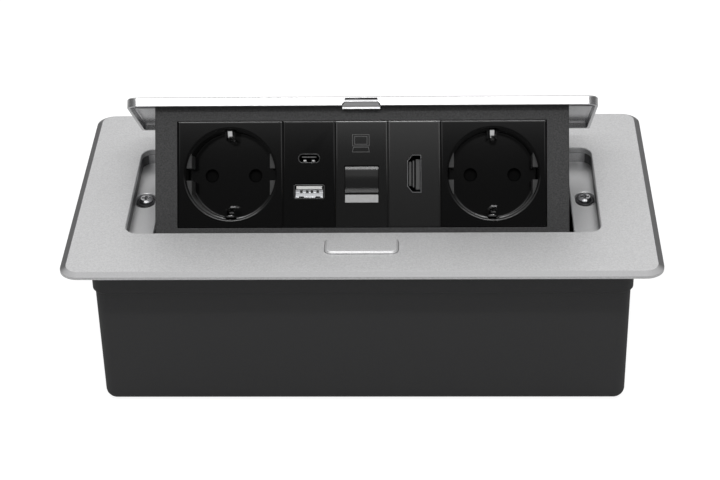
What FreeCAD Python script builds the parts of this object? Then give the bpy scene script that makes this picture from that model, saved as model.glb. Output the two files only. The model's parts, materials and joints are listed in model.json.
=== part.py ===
import FreeCAD, Part

import math
import os

V = FreeCAD.Vector

# Pop-up socket unit for a table top, shown open. Millimetres, +Z up, front towards -Y.
# The origin is the middle of the box's underside. The whole pop-up module is described in its
# shut position, where the lid lies flush in the flange, and is then swung open about its pivot.

# Inserts in the face: modules of one height and two widths
wide_insert = 45.0
narrow_insert = 22.5
insert_gap = 0.12
insert_sunk = 0.35
insert_bevel = 0.7
insert_back_flange = 2.0
insert_flange_reach = 1.8

# Face of the module: u to the right, v up the face, w out of the face
face_rake = 8.0
face_border = 9.5
face_thick = 2.5
face_edge_break = 0.4
lid_overhang = 4.3
window_below_lid = 6.3
window_play = 0.5
window_height = 45.2
face_below_window = 6.35
window_width = 2 * wide_insert + 3 * narrow_insert + window_play
face_width = window_width + 2 * face_border

# Flange: the visible frame that lies on the table
flange_width = 250.0
flange_depth = 136.0
flange_thick = 2.4
flange_corner = 8.0
flange_bevel_run = 2.4
flange_bevel_drop = 1.3
finger_recess = 12.5
opening_width = face_width + 2 * finger_recess
opening_depth = 70.5
opening_shift = -0.5
opening_corner = 5.5
opening_edge_break = 0.35

# Box under the flange
box_side_land = 11.8
box_front_land = 20.75
box_width = opening_width + 2 * box_side_land
box_depth = opening_depth + 2 * box_front_land
box_height = 71.4
box_wall = 2.5
box_draft = 0.25
box_corner = 5.0
box_floor_round = 4.4
band_height = 15.0
band_proud = 1.0
band_round = 0.9

# Screw columns, cable holes and cord clamp of the box
screw_column_radius = 4.6
column_rib = 2.4
column_rib_height = 14.0
mains_hole_radius = 7.5
mains_bore_radius = 4.0
data_hole_radius = 9.0
data_bore_radius = 6.0
cable_hole_z = 17.0
mains_hole_x = -70.0
data_hole_x = 62.0
bush_lip = 2.2
bush_fit = 0.2
clamp_pitch = 22.0
clamp_back = 18.0
clamp_boss_radius = 3.4
clamp_boss_top = 10.5
clamp_bar = 2.5
clamp_width = 8.0

# Tray that lines the opening and carries the two ledges
tray_inset = 0.6
tray_wall = 1.5
recess_depth = 8.0
ledge_thick = 1.6
ledge_fillet = 2.0
well_side_gap = 2.1
well_front_lip = 1.4
well_rear_lip = 1.4
well_corner = 2.5
well_half_width = face_width / 2 + well_side_gap
tray_screw_inset = 4.3
tray_screw_x = opening_width / 2 - tray_screw_inset
tray_screw_y = 4.3
counterbore_radius = 4.6
counterbore_depth = 0.9
frame_screw_x = 60.0
frame_ear_reach = 8.0
frame_ear_half = 5.0
frame_ear_thick = 2.0
frame_pad_radius = 4.0
frame_pad_height = 3.0

# Lid
lid_side_gap = 0.75
lid_width = opening_width - 2 * lid_side_gap
lid_depth = 52.0
lid_height = 4.4
lid_skin = 1.5
lid_rim = 1.3
lid_front_corner = 5.0
lid_rear_corner = 1.0
lid_edge_break = 0.35
lid_gap = 0.7
lid_rib = 1.0
lid_rib_drop = 0.8
lid_front_rib = 15.0
lid_rear_rib = 6.4
lid_screw_x = 70.0
lid_screw_ahead = (39.0, 15.0)

# Strike let into the lid's front edge
strike_half_top = 7.0
strike_half_foot = 8.1
strike_slot_top = 1.04
strike_top = 2.14
strike_flat = 3.0
strike_foot = 5.6
strike_lean = 1.5
strike_seat = 0.6

# Pivot and swing
pivot_behind_opening = 9.65
pivot_drop = 24.3
open_angle = 41.0
pin_radius = 2.5
running_clearance = 0.05
eye_radius = 5.2
pin_reach = 14.5
pin_head_radius = 4.5
pin_head = 2.2
clip_groove = 0.9
clip_radius = 4.4
bush_radius = 5.0
stop_radius = 1.6
stop_back = 15.0
stop_spigot = 0.75

# Shell and arms of the module
shell_wall = 2.0
shell_rear_gap = 1.65
shell_rear_break = 48.0
shell_foot_step = 5.0
shell_foot_drop = 61.5
arm_inset = 3.0
arm_thick = 2.5
arm_inside = face_width / 2 - arm_inset
arm_top_drop = 22.5
arm_bottom_drop = 40.0
arm_boss_radius = 3.6
arm_boss_length = 11.0
arm_screw_length = 7.0

# Damper gears
gear_module = 0.8
sector_teeth = 36
pinion_teeth = 12
pressure_angle = 25.0
gear_backlash = 0.12
addendum = 0.8
dedendum = 1.15
pinion_direction = 240.0
damper_radius = 8.0
damper_length = 7.0
damper_shaft = 1.5
damper_neck = 3.0
damper_ear_reach = 10.6
damper_ear_radius = 2.8
damper_ear_thick = 2.0
damper_ear_turn = 70.0

# Torsion springs about the pivot pins
spring_wire = 0.7
spring_radius = 4.6
spring_pitch = 2.2
spring_gap = 0.9
spring_moving_leg = 18.0
spring_fixed_leg = 9.8

# Brackets under the tray
bracket_side_gap = 0.1
bracket_inside = well_half_width - bracket_side_gap
bracket_thick = 1.5
bracket_drop = 13.0
bracket_ahead = 32.4
bracket_behind = 6.6
bracket_tab = 9.5
bracket_seat = 16.5
bracket_pad_radius = 3.6
bracket_screw_out = 5.2
bracket_screw_back = (28.4, 15.4)

# Round power sockets
well_radius = 19.75
well_depth = 17.5
well_floor_thick = 2.0
well_wall = 1.6
well_lip = 1.0
pin_spacing = 19.0
pin_hole_radius = 2.65
socket_skirt = 25.0
socket_base_front = 5.0
socket_base_end = 31.0
tube_radius = 3.2
tube_bore = 2.45
tube_end = 33.0
shutter_turn = 40.0
shutter_radius = 12.9
shutter_thick = 1.8
shutter_hub = 1.9
clip_half_width = 1.2
clip_housing_half = 2.5
clip_housing_reach = 15.6
clip_thick = 0.8
busbar_thick = 1.0

# Ports. Heights are v from the middle of the face.
usb_c_v = 6.7
usb_c_width = 9.3
usb_c_height = 3.9
usb_shell_wall = 0.3
usb_a_v = -7.5
usb_a_width = 13.5
usb_a_height = 6.4
port_fit = 0.1
board_w = -18.0
board_thick = 1.6
data_window_half = 7.2
data_window_low = -8.4
data_window_high = 3.6
shutter_side_fit = 0.1
shutter_lift = 9.5
label_low = -12.3
label_high = -8.7
label_sunk = 0.5
contact_pitch = 1.02
hdmi_half_width = 3.0
hdmi_half_height = 8.1
hdmi_corner_cut = 2.2
hdmi_wall = 0.35

# Release button, latch and their guide
button_width = 30.7
button_depth = 12.2
button_corner = 3.0
button_proud = 1.0
button_bevel = 0.75
button_skirt = 3.6
button_back = 10.65
button_gap = 0.2
button_travel = 2.0
button_lug_reach = 2.0
button_lug_half = 4.0
button_lug_drop = 2.2
stem_half = 3.0
latch_width = 12.6
latch_thick = 0.8
latch_reach = 1.6
latch_below_deck = 1.2
leg_thick = 0.75
slide_drop = 9.5
guide_half = 21.0
guide_half_depth = 6.8
guide_rear_gap = 1.65
guide_drop = 19.0
guide_floor = 2.0
guide_screw_x = 19.4
press_spring_x = 11.0
press_spring_wire = 0.35
press_spring_radius = 2.2
press_spring_turns = 4

# Screws: thread hole, clearance hole and head
tray_screw_shank = 1.5
small_screw_shank = 1.2
small_screw_hole = 1.25
small_screw_clear = 1.6
small_head_radius = 2.8
small_head_height = 2.0

deck = box_height + flange_thick
opening_front = opening_shift - opening_depth / 2
opening_rear = opening_shift + opening_depth / 2
pivot_y = opening_rear + pivot_behind_opening
pivot_z = deck - pivot_drop
lid_front = opening_front + lid_gap
lid_rear = lid_front + lid_depth
lid_under = deck - lid_height
skin_under = deck - lid_skin
tray_top = deck - flange_thick
ledge_top = deck - recess_depth
tray_under = ledge_top - ledge_thick
bracket_top = deck - bracket_drop
shell_rear_back = lid_rear - lid_rim - shell_rear_gap
shell_foot_back = shell_rear_back - shell_foot_step
button_centre_y = opening_front - button_back
button_lug_foot = tray_top - button_lug_drop
latch_top = deck - latch_below_deck
leg_back = opening_front - tray_wall - 0.1
slide_z = deck - slide_drop
guide_front = button_centre_y - guide_half_depth
guide_rear = opening_front - tray_wall - guide_rear_gap
guide_foot = deck - guide_drop
guide_screw_places = [(side * guide_screw_x, button_centre_y) for side in (-1, 1)]
bracket_screw_places = [(well_half_width + bracket_screw_out, pivot_y - back) for back in bracket_screw_back]
lid_screw_places = [(side * lid_screw_x, lid_front + ahead) for ahead in lid_screw_ahead for side in (-1, 1)]
socket_u = wide_insert / 2 + 1.5 * narrow_insert
spring_out = arm_inside - spring_gap
pin_inner = arm_inside - pin_reach
clamp_y = box_depth / 2 - clamp_back

rake_sin = math.sin(math.radians(face_rake))
rake_cos = math.cos(math.radians(face_rake))
window_middle = window_below_lid + window_height / 2
face_y = lid_front + lid_overhang * rake_cos + window_middle * rake_sin
face_z = lid_under + lid_overhang * rake_sin - window_middle * rake_cos


# Plain shapes

def block(x0, x1, y0, y1, z0, z1):
    return Part.makeBox(x1 - x0, y1 - y0, z1 - z0, V(x0, y0, z0))


def rod(radius, start, end):
    reach = end.sub(start)
    return Part.makeCylinder(radius, reach.Length, start, reach)


def cone(radius_start, radius_end, start, end):
    reach = end.sub(start)
    return Part.makeCone(radius_start, radius_end, reach.Length, start, reach)


def prism(points, reach):
    return Part.Face(Part.makePolygon(points + [points[0]])).extrude(reach)


def side_prism(profile, x0, x1):
    """A (y, z) outline carried along X."""
    return prism([V(x0, y, z) for y, z in profile], V(x1 - x0, 0, 0))


def round_rectangle(width, depth, radius, z, cx=0.0, cy=0.0):
    """A level closed wire: a rectangle whose four corners are arcs."""
    a = width / 2 - radius
    b = depth / 2 - radius
    diagonal = radius * math.sqrt(0.5)
    edges = []
    for sx, sy, turned in ((1, -1, False), (1, 1, True), (-1, 1, False), (-1, -1, True)):
        out_x = V(cx + sx * (a + radius), cy + sy * b, z)
        out_y = V(cx + sx * a, cy + sy * (b + radius), z)
        middle = V(cx + sx * (a + diagonal), cy + sy * (b + diagonal), z)
        first, last = (out_x, out_y) if turned else (out_y, out_x)
        edges.append((first, middle, last))
    wire = []
    for index, (first, middle, last) in enumerate(edges):
        wire.append(Part.Arc(first, middle, last).toShape())
        following = edges[(index + 1) % 4][0]
        wire.append(Part.LineSegment(last, following).toShape())
    return Part.Wire(wire)


def round_plate(width, depth, radius, z0, z1, cx=0.0, cy=0.0):
    wire = round_rectangle(width, depth, radius, z0, cx, cy)
    return Part.Face(wire).extrude(V(0, 0, z1 - z0))


def tapered_plate(low, high, z0, z1, cx=0.0, cy=0.0):
    """A ruled solid between two (width, depth, radius) outlines."""
    wires = [round_rectangle(*low, z0, cx, cy), round_rectangle(*high, z1, cx, cy)]
    return Part.makeLoft(wires, True, True)


def drafted_block(low, high, radius, z0, z1):
    """Four flat walls that lean out from a (width, depth) to a larger one, with round uprights."""
    body = Part.makeWedge(-low[0] / 2, z0, -low[1] / 2, -high[1] / 2, -high[0] / 2,
                          low[0] / 2, z1, low[1] / 2, high[1] / 2, high[0] / 2)
    body.rotate(V(0, 0, 0), V(1, 0, 0), 90)
    uprights = [edge for edge in body.Edges if edge.BoundBox.ZLength > (z1 - z0) * 0.9]
    return body.makeFillet(radius, uprights)


def join(first, *others):
    return first.fuse(list(others)).removeSplitter()


def shut_to_rest(shape):
    """Swings a piece of the shut module open about the pivot."""
    shape.rotate(V(0, pivot_y, pivot_z), V(1, 0, 0), -open_angle)
    return shape


def face_to_rest(shape):
    """Moves a piece given in u, v, w onto the open module."""
    shape.rotate(V(0, 0, 0), V(1, 0, 0), 90 + face_rake)
    shape.translate(V(0, face_y, face_z))
    return shut_to_rest(shape)


def face_point(v, w):
    """The shut module's (y, z) of a point on its face."""
    return face_y - v * rake_sin - w * rake_cos, face_z + v * rake_cos - w * rake_sin


nodes = {}


def keep(name, *solids):
    nodes[name] = solids[0] if len(solids) == 1 else Part.makeCompound(list(solids))


# Flange and its tray

def frame_screw_places():
    front = opening_front - tray_wall - frame_ear_reach / 2
    rear = opening_rear + tray_wall + frame_ear_reach / 2
    return [(sx * frame_screw_x, y) for y in (front, rear) for sx in (-1, 1)]


def flange_plate():
    """A bevelled frame with the opening, the button's hole, the nose's slot and blind screw holes."""
    full = (flange_width, flange_depth, flange_corner)
    top = (flange_width - 2 * flange_bevel_run, flange_depth - 2 * flange_bevel_run,
           flange_corner - flange_bevel_run)
    bevel_start = deck - flange_bevel_drop
    plate = round_plate(*full, tray_top, bevel_start)
    plate = join(plate, tapered_plate(full, top, bevel_start, deck))
    opening = (opening_width, opening_depth, opening_corner)
    broken = (opening_width + 2 * opening_edge_break, opening_depth + 2 * opening_edge_break,
              opening_corner + opening_edge_break)
    lead = tapered_plate(opening, broken, deck - opening_edge_break, deck, 0, opening_shift)
    hole = round_plate(*opening, tray_top - 1, deck - opening_edge_break, 0, opening_shift)
    button = round_plate(button_width + 2 * button_gap, button_depth + 2 * button_gap,
                         button_corner + button_gap, tray_top - 1, deck + 1, 0, button_centre_y)
    bridge_front = button_centre_y + button_depth / 2 + button_gap
    slot = block(-latch_width / 2 - 1.5, latch_width / 2 + 1.5, bridge_front - 0.1,
                 opening_front + 0.1, tray_top - 1, latch_top + 0.2)
    pads = [rod(frame_pad_radius, V(x, y, tray_top - frame_pad_height), V(x, y, tray_top + 0.2))
            for x, y in frame_screw_places()]
    holes = [rod(small_screw_hole, V(x, y, tray_top - frame_pad_height - 1), V(x, y, deck - 1.0))
             for x, y in frame_screw_places() + guide_screw_places]
    return join(plate, *pads).cut([lead, hole, button, slot] + holes)


def recess_tray():
    inner_width = opening_width - 2 * tray_inset
    inner_depth = opening_depth - 2 * tray_inset
    inner_corner = opening_corner - tray_inset
    outer = round_plate(opening_width + 2 * tray_wall, opening_depth + 2 * tray_wall,
                        opening_corner + tray_wall, tray_under, tray_top, 0, opening_shift)
    pocket = round_plate(inner_width, inner_depth, inner_corner, ledge_top, tray_top + 5,
                         0, opening_shift)
    foot = [edge for edge in pocket.Edges
            if abs(edge.BoundBox.ZMax - ledge_top) < 1e-6 and edge.BoundBox.ZLength < 1e-6]
    pocket = pocket.makeFillet(ledge_fillet, foot)
    well = round_plate(2 * well_half_width, opening_depth - well_front_lip - well_rear_lip, well_corner,
                       tray_under - 1, tray_top, 0, opening_shift)
    ear_under = tray_top - frame_pad_height - frame_ear_thick
    ears = []
    ear_holes = []
    for x, y in frame_screw_places():
        toward = 1 if y < 0 else -1
        y0, y1 = sorted((y - toward * frame_ear_reach / 2, y + toward * (frame_ear_reach / 2 + 0.5)))
        ears.append(block(x - frame_ear_half, x + frame_ear_half, y0, y1,
                          ear_under, ear_under + frame_ear_thick))
        ear_holes.append(rod(small_screw_clear, V(x, y, ear_under - 1), V(x, y, tray_top)))
    pads = []
    pad_holes = []
    for side in (-1, 1):
        for x, y in bracket_screw_places:
            pads.append(rod(bracket_pad_radius, V(side * x, y, bracket_top),
                            V(side * x, y, tray_under + 0.2)))
            pad_holes.append(rod(small_screw_hole, V(side * x, y, bracket_top - 1),
                                 V(side * x, y, tray_under + 0.6)))
        x = side * tray_screw_x
        pad_holes.append(rod(counterbore_radius, V(x, tray_screw_y, ledge_top - counterbore_depth),
                             V(x, tray_screw_y, ledge_top + 5)))
        pad_holes.append(rod(tray_screw_shank + 0.4, V(x, tray_screw_y, tray_under - 1),
                             V(x, tray_screw_y, ledge_top)))
    body = join(outer, *ears, *pads)
    return body.cut([pocket, well] + ear_holes + pad_holes)


# Box with its bosses, cable holes and cord clamp seats

def box_half_depth(z):
    return box_depth / 2 - box_draft * (1 - z / box_height)


def housing_box():
    """A drafted box with a band under the flange, two screw columns and its cable holes."""
    low = (box_width - 2 * box_draft, box_depth - 2 * box_draft)
    high = (box_width, box_depth)
    shell = drafted_block(low, high, box_corner, 0, box_height)
    under = [edge for edge in shell.Edges if edge.BoundBox.ZMax < 1e-3]
    shell = shell.makeFillet(box_floor_round, under)
    band_foot = box_height - band_height
    band = round_plate(box_width + 2 * band_proud, box_depth + 2 * band_proud,
                       box_corner + band_proud, band_foot, box_height)
    under = [edge for edge in band.Edges if edge.BoundBox.ZMax < band_foot + 1e-6]
    band = band.makeChamfer(band_round, under)
    inside_low = (low[0] - 2 * box_wall, low[1] - 2 * box_wall)
    inside_high = (high[0] - 2 * box_wall, high[1] - 2 * box_wall)
    cavity = drafted_block(inside_low, inside_high, box_corner - box_wall, box_wall, box_height + 0.01)
    columns = []
    holes = []
    floor_in = box_wall - 0.5
    for side in (-1, 1):
        x = side * tray_screw_x
        columns.append(rod(screw_column_radius, V(x, tray_screw_y, floor_in), V(x, tray_screw_y, tray_under)))
        x0, x1 = sorted((x, side * (box_width / 2 - box_wall + 1.0)))
        columns.append(block(x0, x1, tray_screw_y - column_rib / 2, tray_screw_y + column_rib / 2, floor_in,
                             tray_under - 4))
        columns.append(block(x - column_rib / 2, x + column_rib / 2, tray_screw_y - 2 * screw_column_radius,
                             tray_screw_y + 2 * screw_column_radius, floor_in, column_rib_height))
        holes.append(rod(tray_screw_shank, V(x, tray_screw_y, tray_under - 18),
                         V(x, tray_screw_y, tray_under + 1)))
        clamp_x = mains_hole_x + side * clamp_pitch / 2
        columns.append(rod(clamp_boss_radius, V(clamp_x, clamp_y, floor_in),
                           V(clamp_x, clamp_y, clamp_boss_top)))
        holes.append(rod(small_screw_hole, V(clamp_x, clamp_y, box_wall + 0.5),
                         V(clamp_x, clamp_y, clamp_boss_top + 1)))
    for x, radius in ((mains_hole_x, mains_hole_radius), (data_hole_x, data_hole_radius)):
        holes.append(rod(radius, V(x, box_depth / 2 - 8, cable_hole_z),
                         V(x, box_depth / 2 + 8, cable_hole_z)))
    return join(join(shell, band).cut(cavity), *columns).cut(holes)


def grommet(x, hole_radius, bore_radius):
    """A rubber bush turned about the cable's axis, gripping the rear wall in its groove."""
    wall_out = box_half_depth(cable_hole_z)
    wall_in = wall_out - box_wall
    neck = hole_radius - port_fit
    collar = hole_radius + bush_lip
    profile = [(bore_radius, wall_in - bush_lip), (collar, wall_in - bush_lip), (collar, wall_in - bush_fit),
               (neck, wall_in - bush_fit), (neck, wall_out + bush_fit), (collar, wall_out + bush_fit),
               (collar - 1.0, wall_out + 1.9), (bore_radius, wall_out + 1.9)]
    points = [V(x, y, cable_hole_z + r) for r, y in profile]
    face = Part.Face(Part.makePolygon(points + [points[0]]))
    return face.revolve(V(x, 0, cable_hole_z), V(0, 1, 0), 360)


def cord_clamp():
    """A saddle over the cord's path, arched in the middle and screwed down at both ends."""
    half_length = clamp_pitch / 2 + 4
    z0 = clamp_boss_top
    front = clamp_y - clamp_width / 2
    back = clamp_y + clamp_width / 2
    way_radius = mains_bore_radius + 0.4
    arch_z = cable_hole_z - 1
    x = mains_hole_x
    bar = block(x - half_length, x + half_length, front, back, z0, z0 + clamp_bar)
    arch = rod(way_radius + 2.2, V(x, front, arch_z), V(x, back, arch_z))
    way = rod(way_radius, V(x, front - 1, arch_z), V(x, back + 1, arch_z))
    below = block(x - way_radius, x + way_radius, front - 1, back + 1, 0, arch_z)
    under = block(x - half_length, x + half_length, front - 1, back + 1, 0, z0)
    holes = [rod(small_screw_clear, V(x + side * clamp_pitch / 2, clamp_y, z0 - 1),
                 V(x + side * clamp_pitch / 2, clamp_y, z0 + clamp_bar + 1)) for side in (-1, 1)]
    return join(bar, arch).cut([way, below, under] + holes)


# Fasteners

def pan_screw(seat, direction, shank_radius, shank_length, head_radius, head_height):
    """A cross-recessed screw. The seat is where the head bears, the direction is the shank's."""
    along = V(direction).normalize()
    head_top = seat - along * head_height
    shoulder = seat - along * head_height * 0.6
    head = join(rod(head_radius, seat, shoulder), cone(head_radius, head_radius * 0.78, shoulder, head_top))
    screw = join(head, rod(shank_radius, seat - along * 0.1, seat + along * shank_length))
    across = V(1, 0, 0)
    over = along.cross(across)
    arm = head_radius * 0.62
    wide = head_radius * 0.17
    deep = head_height * 0.65
    for first, second in ((across, over), (over, across)):
        points = [head_top + first * (a * arm) + second * (b * wide)
                  for a, b in ((-1, -1), (1, -1), (1, 1), (-1, 1))]
        screw = screw.cut(prism(points, along * deep))
    return screw


def hex_screw(seat, direction, shank_length, head_radius=small_head_radius, head_height=small_head_height):
    """A small hexagon-head screw for the places that a driver reaches only before assembly."""
    along = V(direction).normalize()
    across = V(1, 0, 0) if abs(along.x) < 0.9 else V(0, 1, 0)
    over = along.cross(across)
    corners = [seat + across * (head_radius * math.cos(step * math.pi / 3))
               + over * (head_radius * math.sin(step * math.pi / 3)) for step in range(6)]
    head = prism(corners, along * -head_height)
    return join(head, rod(small_screw_shank, seat - along * 0.1, seat + along * shank_length))


# Brackets, pins, springs and stops that hang the module

def bracket(side, low_profile):
    """A folded steel plate: a side wall, a tab screwed under the ledge and a seat for the spring."""
    front = pivot_y - bracket_ahead
    rear = pivot_y + bracket_behind
    profile = [(front, bracket_top), (rear, bracket_top), (rear, pivot_z - 5)] + low_profile
    outside = bracket_inside + bracket_thick
    plate = side_prism(profile, bracket_inside, outside)
    tab = block(bracket_inside, bracket_inside + bracket_tab, front, pivot_y - 11.4,
                bracket_top - bracket_thick, bracket_top)
    seat = block(bracket_inside - bracket_seat, bracket_inside + 0.5, pivot_y + 2.2, pivot_y + 3.7,
                 bracket_top - 4.0, bracket_top)
    bore = rod(pin_radius, V(bracket_inside - 1, pivot_y, pivot_z), V(outside + 1, pivot_y, pivot_z))
    holes = [rod(small_screw_clear, V(x, y, bracket_top - 4), V(x, y, bracket_top + 1))
             for x, y in bracket_screw_places]
    stop_y, stop_z = stop_place()
    peg_hole = rod(stop_spigot + 0.05, V(bracket_inside - 1, stop_y, stop_z), V(outside + 1, stop_y, stop_z))
    shape = join(plate, tab, seat).cut([bore, peg_hole] + holes)
    if side > 0:
        return shape.cut(damper_holes())
    return shape.mirror(V(0, 0, 0), V(1, 0, 0))


def rest_place(y, z):
    """Where a (y, z) point of the shut module lies once it is open."""
    turn = math.radians(open_angle)
    dy = y - pivot_y
    dz = z - pivot_z
    return (pivot_y + dy * math.cos(turn) + dz * math.sin(turn),
            pivot_z - dy * math.sin(turn) + dz * math.cos(turn))


def stop_place():
    return rest_place(pivot_y - stop_back, deck - arm_top_drop + stop_radius + 0.15)


def damper_axis():
    spacing = gear_module * (sector_teeth + pinion_teeth) / 2
    turn = math.radians(pinion_direction)
    return pivot_y + spacing * math.cos(turn), pivot_z + spacing * math.sin(turn)


def damper_ears():
    y, z = damper_axis()
    turn = math.radians(damper_ear_turn)
    return [(y + side * damper_ear_reach * math.cos(turn), z - side * damper_ear_reach * math.sin(turn))
            for side in (-1, 1)]


def damper_holes():
    y, z = damper_axis()
    x0 = bracket_inside - 1
    x1 = bracket_inside + bracket_thick + 1
    holes = [rod(damper_neck + 0.1, V(x0, y, z), V(x1, y, z))]
    return holes + [rod(small_screw_hole, V(x0, ey, ez), V(x1, ey, ez)) for ey, ez in damper_ears()]


def damper_body():
    """A round can with two ears, screwed to the right-hand bracket. The pinion's shaft turns in it."""
    y, z = damper_axis()
    x0 = bracket_inside + bracket_thick
    x1 = x0 + damper_ear_thick
    can = rod(damper_radius, V(x0, y, z), V(x0 + damper_length, y, z))
    rim = [edge for edge in can.Edges if abs(edge.BoundBox.XMin - x0 - damper_length) < 1e-6]
    can = can.makeChamfer(0.8, rim[:1])
    neck = rod(damper_neck, V(x0 - bracket_thick - 0.3, y, z), V(x0 + 1, y, z))
    (ay, az), (by, bz) = damper_ears()
    ears = [rod(damper_ear_radius, V(x0, ey, ez), V(x1, ey, ez)) for ey, ez in ((ay, az), (by, bz))]
    along = V(0, by - ay, bz - az).normalize()
    over = V(0, -along.z, along.y) * damper_ear_radius
    web = prism([V(x0, ay, az) + over, V(x0, by, bz) + over, V(x0, by, bz) - over, V(x0, ay, az) - over],
                V(damper_ear_thick, 0, 0))
    bore = rod(damper_shaft + running_clearance, V(x0 - 4, y, z), V(x0 + damper_length - 1.5, y, z))
    ear_holes = [rod(small_screw_hole, V(x0 - 1, ey, ez), V(x1 + 1, ey, ez)) for ey, ez in damper_ears()]
    return join(can, neck, web, *ears).cut([bore] + ear_holes)


def involute(angle):
    return math.tan(angle) - angle


def tooth(teeth, middle):
    """One tooth's outline as (radius, angle) pairs, from its left root over its tip to its right."""
    pitch = gear_module * teeth / 2
    base = pitch * math.cos(math.radians(pressure_angle))
    root = pitch - dedendum * gear_module
    tip = pitch + addendum * gear_module
    half = math.pi / (2 * teeth) - gear_backlash / (2 * pitch) + involute(math.radians(pressure_angle))
    low = max(base, root) + 0.01
    flank = []
    for step in range(4):
        radius = low + (tip - low) * step / 3
        flank.append((radius, half - involute(math.acos(base / radius))))
    left = [(root, flank[0][1])] + flank
    right = [(radius, -angle) for radius, angle in reversed(left)]
    return [(radius, middle + angle) for radius, angle in left + right]


def polar(y, z, radius, angle, x):
    return V(x, y + radius * math.cos(angle), z + radius * math.sin(angle))


def gear_sector(x0, x1):
    """Teeth on the right-hand arm, cut about the pivot and long enough for the whole swing."""
    step = 2 * math.pi / sector_teeth
    meshing = math.radians(pinion_direction)
    count = math.ceil(math.radians(open_angle) / step)
    outline = [V(x0, pivot_y, pivot_z)]
    for index in range(1, -count - 2, -1):
        outline += [polar(pivot_y, pivot_z, r, a, x0) for r, a in tooth(sector_teeth, meshing + index * step)]
    return prism(outline, V(x1 - x0, 0, 0))


def damper_pinion():
    y, z = damper_axis()
    step = 2 * math.pi / pinion_teeth
    towards_pivot = math.radians(pinion_direction - 180)
    outline = []
    for index in range(pinion_teeth):
        middle = towards_pivot + step / 2 - index * step
        outline += [polar(y, z, r, a, arm_inside - 0.2) for r, a in tooth(pinion_teeth, middle)]
    wheel = prism(outline, V(arm_thick + 0.7, 0, 0))
    end = bracket_inside + bracket_thick + damper_length - 2.0
    return join(wheel, rod(damper_shaft, V(arm_inside, y, z), V(end, y, z)))


def wire_along(path, radius):
    """Carries a square wire section along the path."""
    begin = path.Edges[0].Vertexes[0].Point
    along = (path.Edges[0].Vertexes[1].Point - begin).normalize()
    across = along.cross(V(0, 0, 1) if abs(along.z) < 0.8 else V(1, 0, 0)).normalize()
    over = along.cross(across)
    corners = [begin + across * (radius * math.cos(step * math.pi / 2))
               + over * (radius * math.sin(step * math.pi / 2)) for step in range(4)]
    return path.makePipeShell([Part.makePolygon(corners + corners[:1])], True, False)


def torsion_spring():
    """Round wire wound about the pivot pin, with one leg under the arm and one on the bracket."""
    start = math.radians(270 - open_angle)
    turns = 3 + (360 - (270 - open_angle)) / 360

    def at(turn):
        angle = start + 2 * math.pi * turn
        return V(spring_out - spring_pitch * turn, pivot_y + spring_radius * math.cos(angle),
                 pivot_z + spring_radius * math.sin(angle))

    def heading(turn):
        angle = start + 2 * math.pi * turn
        return V(-spring_pitch / (2 * math.pi * spring_radius), -math.sin(angle), math.cos(angle)).normalize()

    quarters = int(round(turns * 4 + 0.5))
    moving = V(0, heading(0).y, heading(0).z) * spring_moving_leg
    fixed = V(0, heading(turns).y, heading(turns).z) * spring_fixed_leg
    edges = [Part.LineSegment(at(0) - moving, at(0)).toShape()]
    for index in range(quarters):
        a, b = turns * index / quarters, turns * (index + 1) / quarters
        edges.append(Part.Arc(at(a), at((a + b) / 2), at(b)).toShape())
    edges.append(Part.LineSegment(at(turns), at(turns) + fixed).toShape())
    return wire_along(Part.Wire(edges), spring_wire)


def both_sides(shape):
    return shape, shape.mirror(V(0, 0, 0), V(1, 0, 0))


def pivot_pin():
    outside = bracket_inside + bracket_thick
    shank = rod(pin_radius, V(pin_inner, pivot_y, pivot_z), V(outside + 0.5, pivot_y, pivot_z))
    head = rod(pin_head_radius, V(outside, pivot_y, pivot_z), V(outside + pin_head, pivot_y, pivot_z))
    groove_in = pin_inner + clip_groove
    ring = rod(pin_radius + 1, V(groove_in, pivot_y, pivot_z), V(groove_in + clip_groove, pivot_y, pivot_z))
    core = rod(pin_radius - 0.6, V(groove_in - 1, pivot_y, pivot_z), V(groove_in + 2, pivot_y, pivot_z))
    return join(shank, head).cut(ring.cut(core))


def pin_clip():
    """A snap ring in the pin's groove, open on one side."""
    x0 = pin_inner + clip_groove + 0.05
    ring = rod(clip_radius, V(x0, pivot_y, pivot_z), V(x0 + clip_groove - 0.1, pivot_y, pivot_z))
    inside = rod(pin_radius - 0.6, V(x0 - 1, pivot_y, pivot_z), V(x0 + 2, pivot_y, pivot_z))
    mouth = block(x0 - 1, x0 + 2, pivot_y - 1.6, pivot_y + 1.6, pivot_z - 6, pivot_z)
    return ring.cut([inside, mouth])


def pivot_bush():
    x0 = arm_inside + arm_thick + 0.1
    x1 = bracket_inside
    wall = rod(bush_radius, V(x0, pivot_y, pivot_z), V(x1, pivot_y, pivot_z))
    return wall.cut(rod(pin_radius + running_clearance, V(x0 - 1, pivot_y, pivot_z),
                        V(x1 + 1, pivot_y, pivot_z)))


def open_stop():
    y, z = stop_place()
    sleeve = rod(stop_radius, V(arm_inside, y, z), V(bracket_inside, y, z))
    spigot = rod(stop_spigot, V(bracket_inside - 1, y, z), V(bracket_inside + bracket_thick + 0.6, y, z))
    return join(sleeve, spigot)


# Lid with its strike and screws

def strike_outline(y, top, foot):
    """The notch seen from the front: straight sides, then a flare at the lid's lower edge."""
    flare = deck - strike_flat
    widest = deck - lid_height
    points = [(-strike_half_top, deck - top), (strike_half_top, deck - top), (strike_half_top, flare),
              (strike_half_foot, widest), (strike_half_foot, deck - foot), (-strike_half_foot, deck - foot),
              (-strike_half_foot, widest), (-strike_half_top, flare)]
    return [V(x, y, z) for x, z in points]


def uprights(shape, y):
    """The upright edges that stand at one y."""
    return [edge for edge in shape.Edges
            if edge.BoundBox.ZLength > 1 and abs(edge.BoundBox.Center.y - y) < 0.01]


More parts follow.
